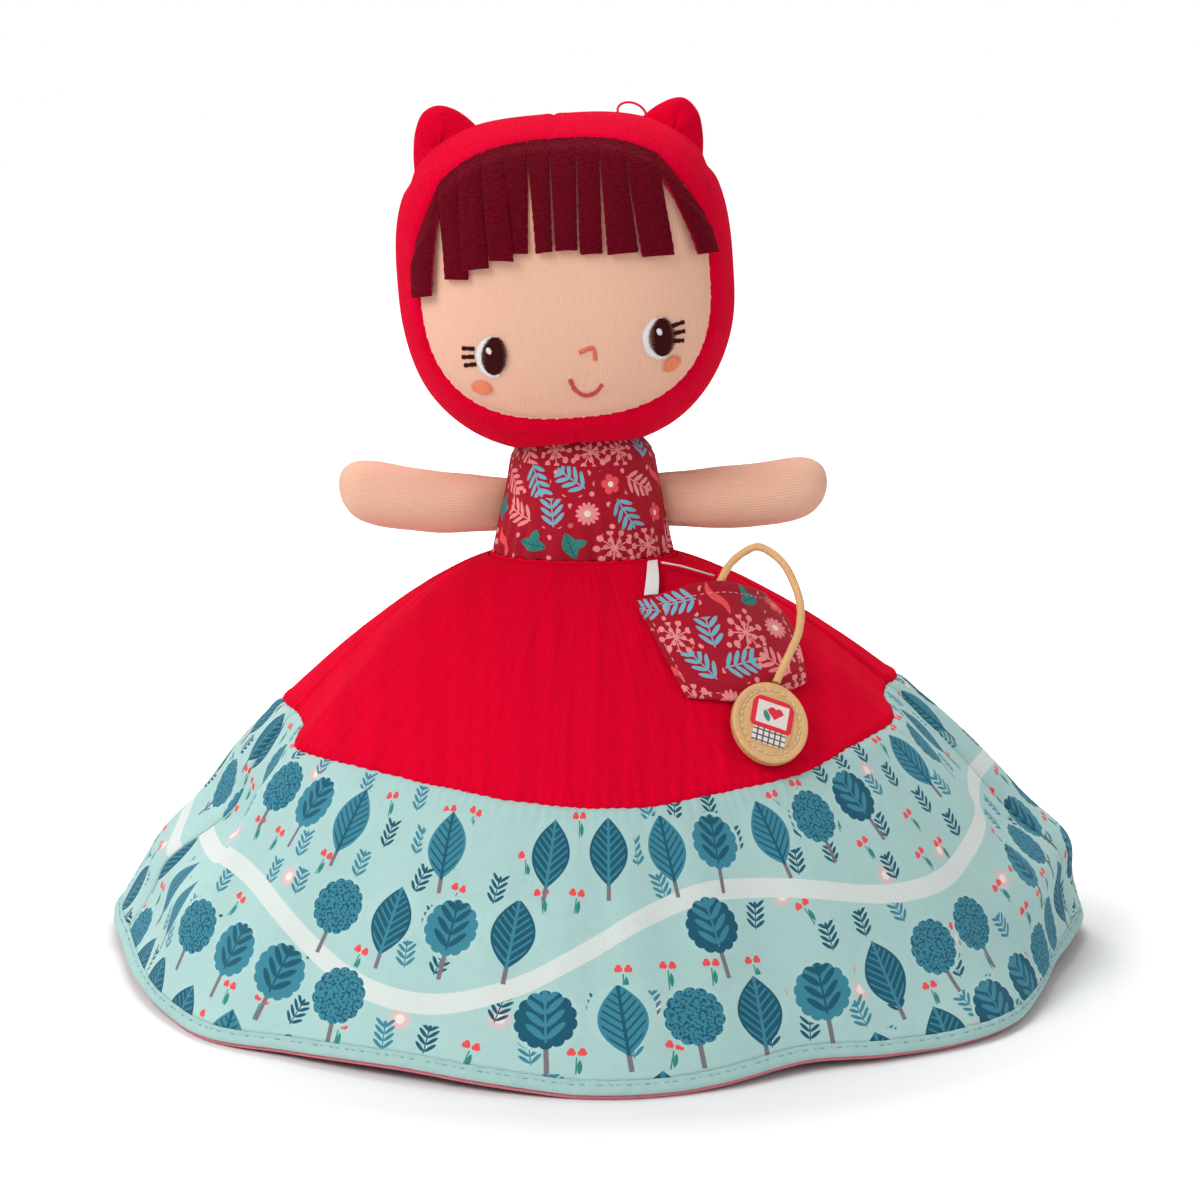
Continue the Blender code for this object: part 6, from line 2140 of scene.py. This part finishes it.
@dataclass
class Charm:
    """An oval charm of two leather layers, stitched round, with a woven emblem."""

    shop: Shop
    half_width: float = 13 * MM
    half_height: float = 14.5 * MM
    layer: float = 1.4 * MM
    lift: float = 4 * MM
    azimuth: float = 48.0
    part: float = 0.452
    turn: float = 41.0

    def frame(self) -> Matrix:
        """The charm's place: +Z out of the skirt, +Y along its long side."""
        middle = Vector(SKIRT.point(self.azimuth, self.part, np.array(-self.lift)))
        normal = (middle - Vector(SKIRT.point(self.azimuth, self.part, np.array(0.0)))).normalized()
        slope = Vector(SKIRT.surface(self.azimuth, self.part - 0.02)) - Vector(SKIRT.surface(self.azimuth,
                                                                                             self.part))
        across = slope.cross(normal).normalized()
        lying = Matrix((across, normal.cross(across), normal)).transposed().to_4x4()
        return Matrix.Translation(middle) @ lying @ Matrix.Rotation(-math.radians(self.turn), 4, "Z")

    def disc(self, name: str, profile: Sequence[tuple[float, float]], half: tuple[float, float], low: float,
             finish: str, corner: float = 2.0) -> Piece:
        """A closed oval layer.

        Args:
            name: Name of the piece.
            profile: Inset from the rim and height in millimetres, from the top's middle to the bottom's.
            half: Half width and half height.
            low: Height of its bottom.
            finish: Name of its finish.
            corner: 2 for an oval, more for fuller corners.

        Returns:
            The layer.
        """
        turn = np.linspace(0, math.tau, 128, endpoint=False)
        squared = (np.abs(np.cos(turn)) ** corner + np.abs(np.sin(turn)) ** corner) ** (-1 / corner)
        rows, flats = [], []
        for inset, height in profile:
            wide, tall = max(half[0] - inset * MM, 0) * squared, max(half[1] - inset * MM, 0) * squared
            ring = np.stack((wide * np.cos(turn), tall * np.sin(turn),
                             np.full_like(turn, low + height * MM)), -1)
            rows.append(ring)
            flats.append(np.concatenate((ring[:, :2], ring[:1, :2])))
        mesh = outwards(grid_mesh(name, np.array(rows), np.array(flats), True), (0, 0, low + self.layer / 2))
        return self.shop.make(name, place_mesh(mesh, self.frame()), finish)

    def pieces(self) -> dict[str, list[Piece]]:
        """The charm's pieces, by the node that each stands for."""
        half = (self.half_width, self.half_height)
        edge = ((0.9, 1.4), (0.5, 1.35), (0.15, 1.15), (0.0, 0.8), (0.0, 0.5), (0.15, 0.15), (0.5, 0.0),
                (9.0, 0.0),
                (14.5, 0.0))
        back = self.disc("charm_back_hide", ((14.5, 1.4), (9.0, 1.4), *edge), half, -self.layer - 0.15 * MM,
                         "tan_hide_edge")
        groove = ((14.5, 1.4), (9.0, 1.4), (4.6, 1.4), (3.7, 1.36), (3.3, 1.12), (2.9, 1.05), (2.5, 1.12),
                  (2.1, 1.36))
        front = self.disc("charm_front_hide", (*groove, *edge), half, 0.15 * MM, "tan_hide")
        turn = np.linspace(0, math.tau, 240, endpoint=False)
        oval = np.stack(((self.half_width - 2.9 * MM) * np.cos(turn),
                         (self.half_height - 2.9 * MM) * np.sin(turn),
                         np.full_like(turn, 1.45 * MM)), -1)
        frame_matrix = np.array(self.frame())
        route = oval @ frame_matrix[:3, :3].T + frame_matrix[:3, 3]
        stitches = sew(self.shop, "charm_stitches", route, "straw_thread", 2.5 * MM, 1.9 * MM, 0.33 * MM,
                       closed=True)
        patch = ((8.8, 0.22), (4.0, 0.22), (0.5, 0.22), (0.15, 0.16), (0.0, 0.05), (0.1, 0.0), (4.0, 0.0),
                 (8.8, 0.0))
        emblem = self.disc("charm_emblem_patch", patch, (7.7 * MM, 9.2 * MM), 1.57 * MM, "heart_emblem", 3.3)
        return {"charm_back": [back], "charm_front": [front, stitches], "charm_emblem": [emblem]}


# Scene


def aim(place: Vector, target: Vector) -> tuple[float, float, float]:
    """Turn that points an object's -Z at a target."""
    return tuple((target - place).to_track_quat("-Z", "Y").to_euler())


def photo_camera() -> None:
    """Camera at the photograph's angle."""
    target = Vector((0.0057, 0.0, 0.129))
    rise = math.radians(11)
    lens = bpy.data.cameras.new("photo_camera")
    lens.lens = 88.7
    lens.sensor_width = 36
    camera = bpy.data.objects.new("photo_camera", lens)
    camera.location = target + Vector((0, -math.cos(rise), math.sin(rise)))
    camera.rotation_euler = aim(camera.location, target)
    bpy.context.scene.collection.objects.link(camera)
    bpy.context.scene.camera = camera


def lamp(name: str, place: tuple[float, float, float], power: float, size: float) -> None:
    """A soft square light that points at the doll."""
    light = bpy.data.lights.new(name, "AREA")
    light.energy = power
    light.size = size
    holder = bpy.data.objects.new(name, light)
    holder.location = place
    holder.rotation_euler = aim(Vector(place), Vector((0, 0, 0.13)))
    bpy.context.scene.collection.objects.link(holder)


def seen_only(tree: Tree) -> Signal:
    """1 for rays from the camera, a mirror or glass."""
    node = tree.nodes.new("ShaderNodeLightPath")
    seen = Signal(tree, node.outputs["Is Camera Ray"])
    for name in ("Is Glossy Ray", "Is Transmission Ray"):
        seen = seen.over(Signal(tree, node.outputs[name]))
    return seen


def studio() -> None:
    """Soft studio light, a white background and a pale floor that keeps the shadow near the doll and glows
    with painted light farther out.
    """
    bpy.context.scene.view_settings.view_transform = "Standard"
    world = bpy.data.worlds.new("studio")
    bpy.context.scene.world = world
    world.use_nodes = True
    tree = world.node_tree
    sky = tree.nodes["Background"]
    plug(tree, sky.inputs["Strength"], seen_only(tree) * 0.54 + 0.46)
    sky.inputs["Color"].default_value = (1, 1, 1, 1)
    lamp("window", (-1.15, -0.9, 1.35), 22.0, 1.0)
    lamp("skylight", (-0.1, 0.75, 1.5), 13.0, 0.9)
    lamp("fill", (1.4, -0.9, 0.7), 4.0, 1.2)
    floor_mesh = bpy.data.meshes.new("studio_floor")
    reach = 6.0
    corners = [(-reach, -reach, 0), (reach, -reach, 0), (reach, reach, 0), (-reach, reach, 0)]
    floor_mesh.from_pydata(corners, [], [(0, 1, 2, 3)])
    material = bpy.data.materials.new("studio_floor")
    material.use_nodes = True
    tree = material.node_tree
    shader = tree.nodes["Principled BSDF"]
    for key, value in (("Base Color", (0.86, 0.86, 0.87)), ("Roughness", 0.9), ("Specular IOR Level", 0.0),
                       ("Emission Color", (1, 1, 1))):
        plug(tree, shader.inputs[key], value)
    loom = Loom(tree)
    x, y, _ = loom.split(loom.add("ShaderNodeTexCoord", {}, "Object"))
    # Painted light: seen from the camera, the floor glows more the farther it is from the skirt, so it reads
    # white away from the doll while the shadow near the hem stays.
    away = (x * x / 0.175 ** 2 + y * y / 0.14 ** 2).math("SQRT")
    glow = ((away - 1.04) * 0.9).under(0.75).over(0.0)
    plug(tree, shader.inputs["Emission Strength"], seen_only(tree) * glow)
    mesh_object("studio_floor", floor_mesh, material)


def dress_doll(shop: Shop, doll: Doll) -> None:
    """Make one doll's pieces and hang them on its bodies.

    Args:
        shop: Materials and patterns.
        doll: Which doll.
    """
    upper = doll is Doll.UPPER
    prefix = doll.value.prefix
    waist = Matrix.Translation((0, 0, WAIST_HEIGHT)) @ Matrix.Rotation(0 if upper else math.pi, 4, "Y")
    lean = Matrix.Rotation(math.radians(-4.2 if upper else 0.0), 4, "Y")
    place = waist @ Matrix.Translation((0, 0, TORSO.ball_rise)) @ lean @ Matrix.Translation((0, 0, HEAD.rise))
    head = Head(shop, doll, place, floor=not upper)
    put(pad(head.hood()), f"{prefix}_head", "red_cotton" if upper else "pink_cotton", f"{prefix}_hood",
        f"{prefix}_head")
    put(head.face_panel(), f"{prefix}_head", "skin_jersey", f"{prefix}_face_panel")
    put(head.fringe(), f"{prefix}_head", "burgundy_fleece" if upper else "honey_fleece", f"{prefix}_fringe")
    for node, piece in head.embroidery().items():
        put(piece, f"{prefix}_head", "dark_thread" if "_eye_" in node else "coral_thread", node)
    if upper:
        for side in ("left", "right"):
            put(pad(head.ear(side)), "upper_head", "red_cotton", f"upper_ear_{side}")
        put(head.loop(), "upper_head", "red_cotton", "crown_thread_loop")
    body = Body(shop, doll, waist, 0.0 if upper else math.radians(42), 4.5 * MM if upper else 0.0,
                (3.6 * MM, 1.9 * MM) if upper else (0.0, 0.0))
    print_slot = "burgundy_print" if upper else "rose_print"
    put(pad(body.bodice()), "torso", print_slot, f"{prefix}_bodice", f"{prefix}_torso")
    put(body.neck(), f"{prefix}_neck", print_slot, f"{prefix}_neck")
    for side, word in ((-1, "left"), (1, "right")):
        put(pad(body.arm(side)), f"{prefix}_arm_{word}", "skin_jersey", f"{prefix}_arm_{word}")


def pad(piece: Piece) -> Piece:
    """Hand a piece back as it is."""
    return piece


def put(piece: Piece, body: str | None, slot: str, *nodes: str) -> None:
    """Hang a piece on a body and let it stand for its nodes.

    Args:
        piece: The piece.
        body: Body that it rides on, or None for cloth whose place is baked into its mesh.
        slot: Material slot of the record; not used.
        nodes: CAD nodes that it stands for.
    """
    if body:
        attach(piece, body)
    else:
        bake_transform(piece)
    if nodes:
        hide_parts(*nodes)
    LOG.info("%s: %d faces", piece.name, len(piece.data.polygons))


def dress_skirt(shop: Shop) -> None:
    """Make the skirt with its pocket and tab."""
    skirt = Skirt(shop)
    for side in SkirtSide:
        word = side.value.word
        for make, slot, node, sheet in (
                (skirt.tier, "red_cotton", f"{word}_skirt_tier", f"{word}_tier"),
                (skirt.band, "mint_print", f"{word}_print_band", f"{word}_band"),
                (skirt.lining, "pink_cotton", f"{word}_lining", f"{word}_lining")):
            piece = make(side)
            put(piece, None, slot, node)
    put(skirt.hem(), "hem", "mint_print", "hem_band")
    put(skirt.lining_edge(), "hem", "pink_cotton")
    put(skirt.hem_stitches(), "hem", "mint_print")
    put(skirt.waist(), "torso", "red_cotton", "waist_band")
    pocket = Pocket(shop)
    patch, topstitch = pocket.patch(), pocket.topstitch()
    put(patch, None, "burgundy_print", "pocket")
    put(topstitch, None, "burgundy_print")
    tab = ribbon_tab(shop)
    put(tab, None, "white_ribbon", "ribbon_tab")
    put(loose_thread(shop), None, "white_ribbon")


def main() -> None:
    """Build the scene."""
    logging.basicConfig(level=logging.INFO, format="%(message)s")
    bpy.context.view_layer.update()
    photo_camera()
    cloths = dress()
    shop = Shop(cloths, stitch_pattern(), satin_pattern(), crinkle_pattern())
    cord = braided_cord(shop)
    put(cord, "cord", "tan_cord", "charm_cord")
    [tuple(point) for point in smooth_route(CORD_ROUTE, MM)]
    for doll in Doll:
        dress_doll(shop, doll)
    dress_skirt(shop)
    for node, pieces in Charm(shop).pieces().items():
        for number, piece in enumerate(pieces):
            slot = "emblem_print" if node == "charm_emblem" else "tan_leather"
            put(piece, "charm", slot, *((node,) if number == 0 else ()))
    studio()


if __name__ == "__main__":
    main()
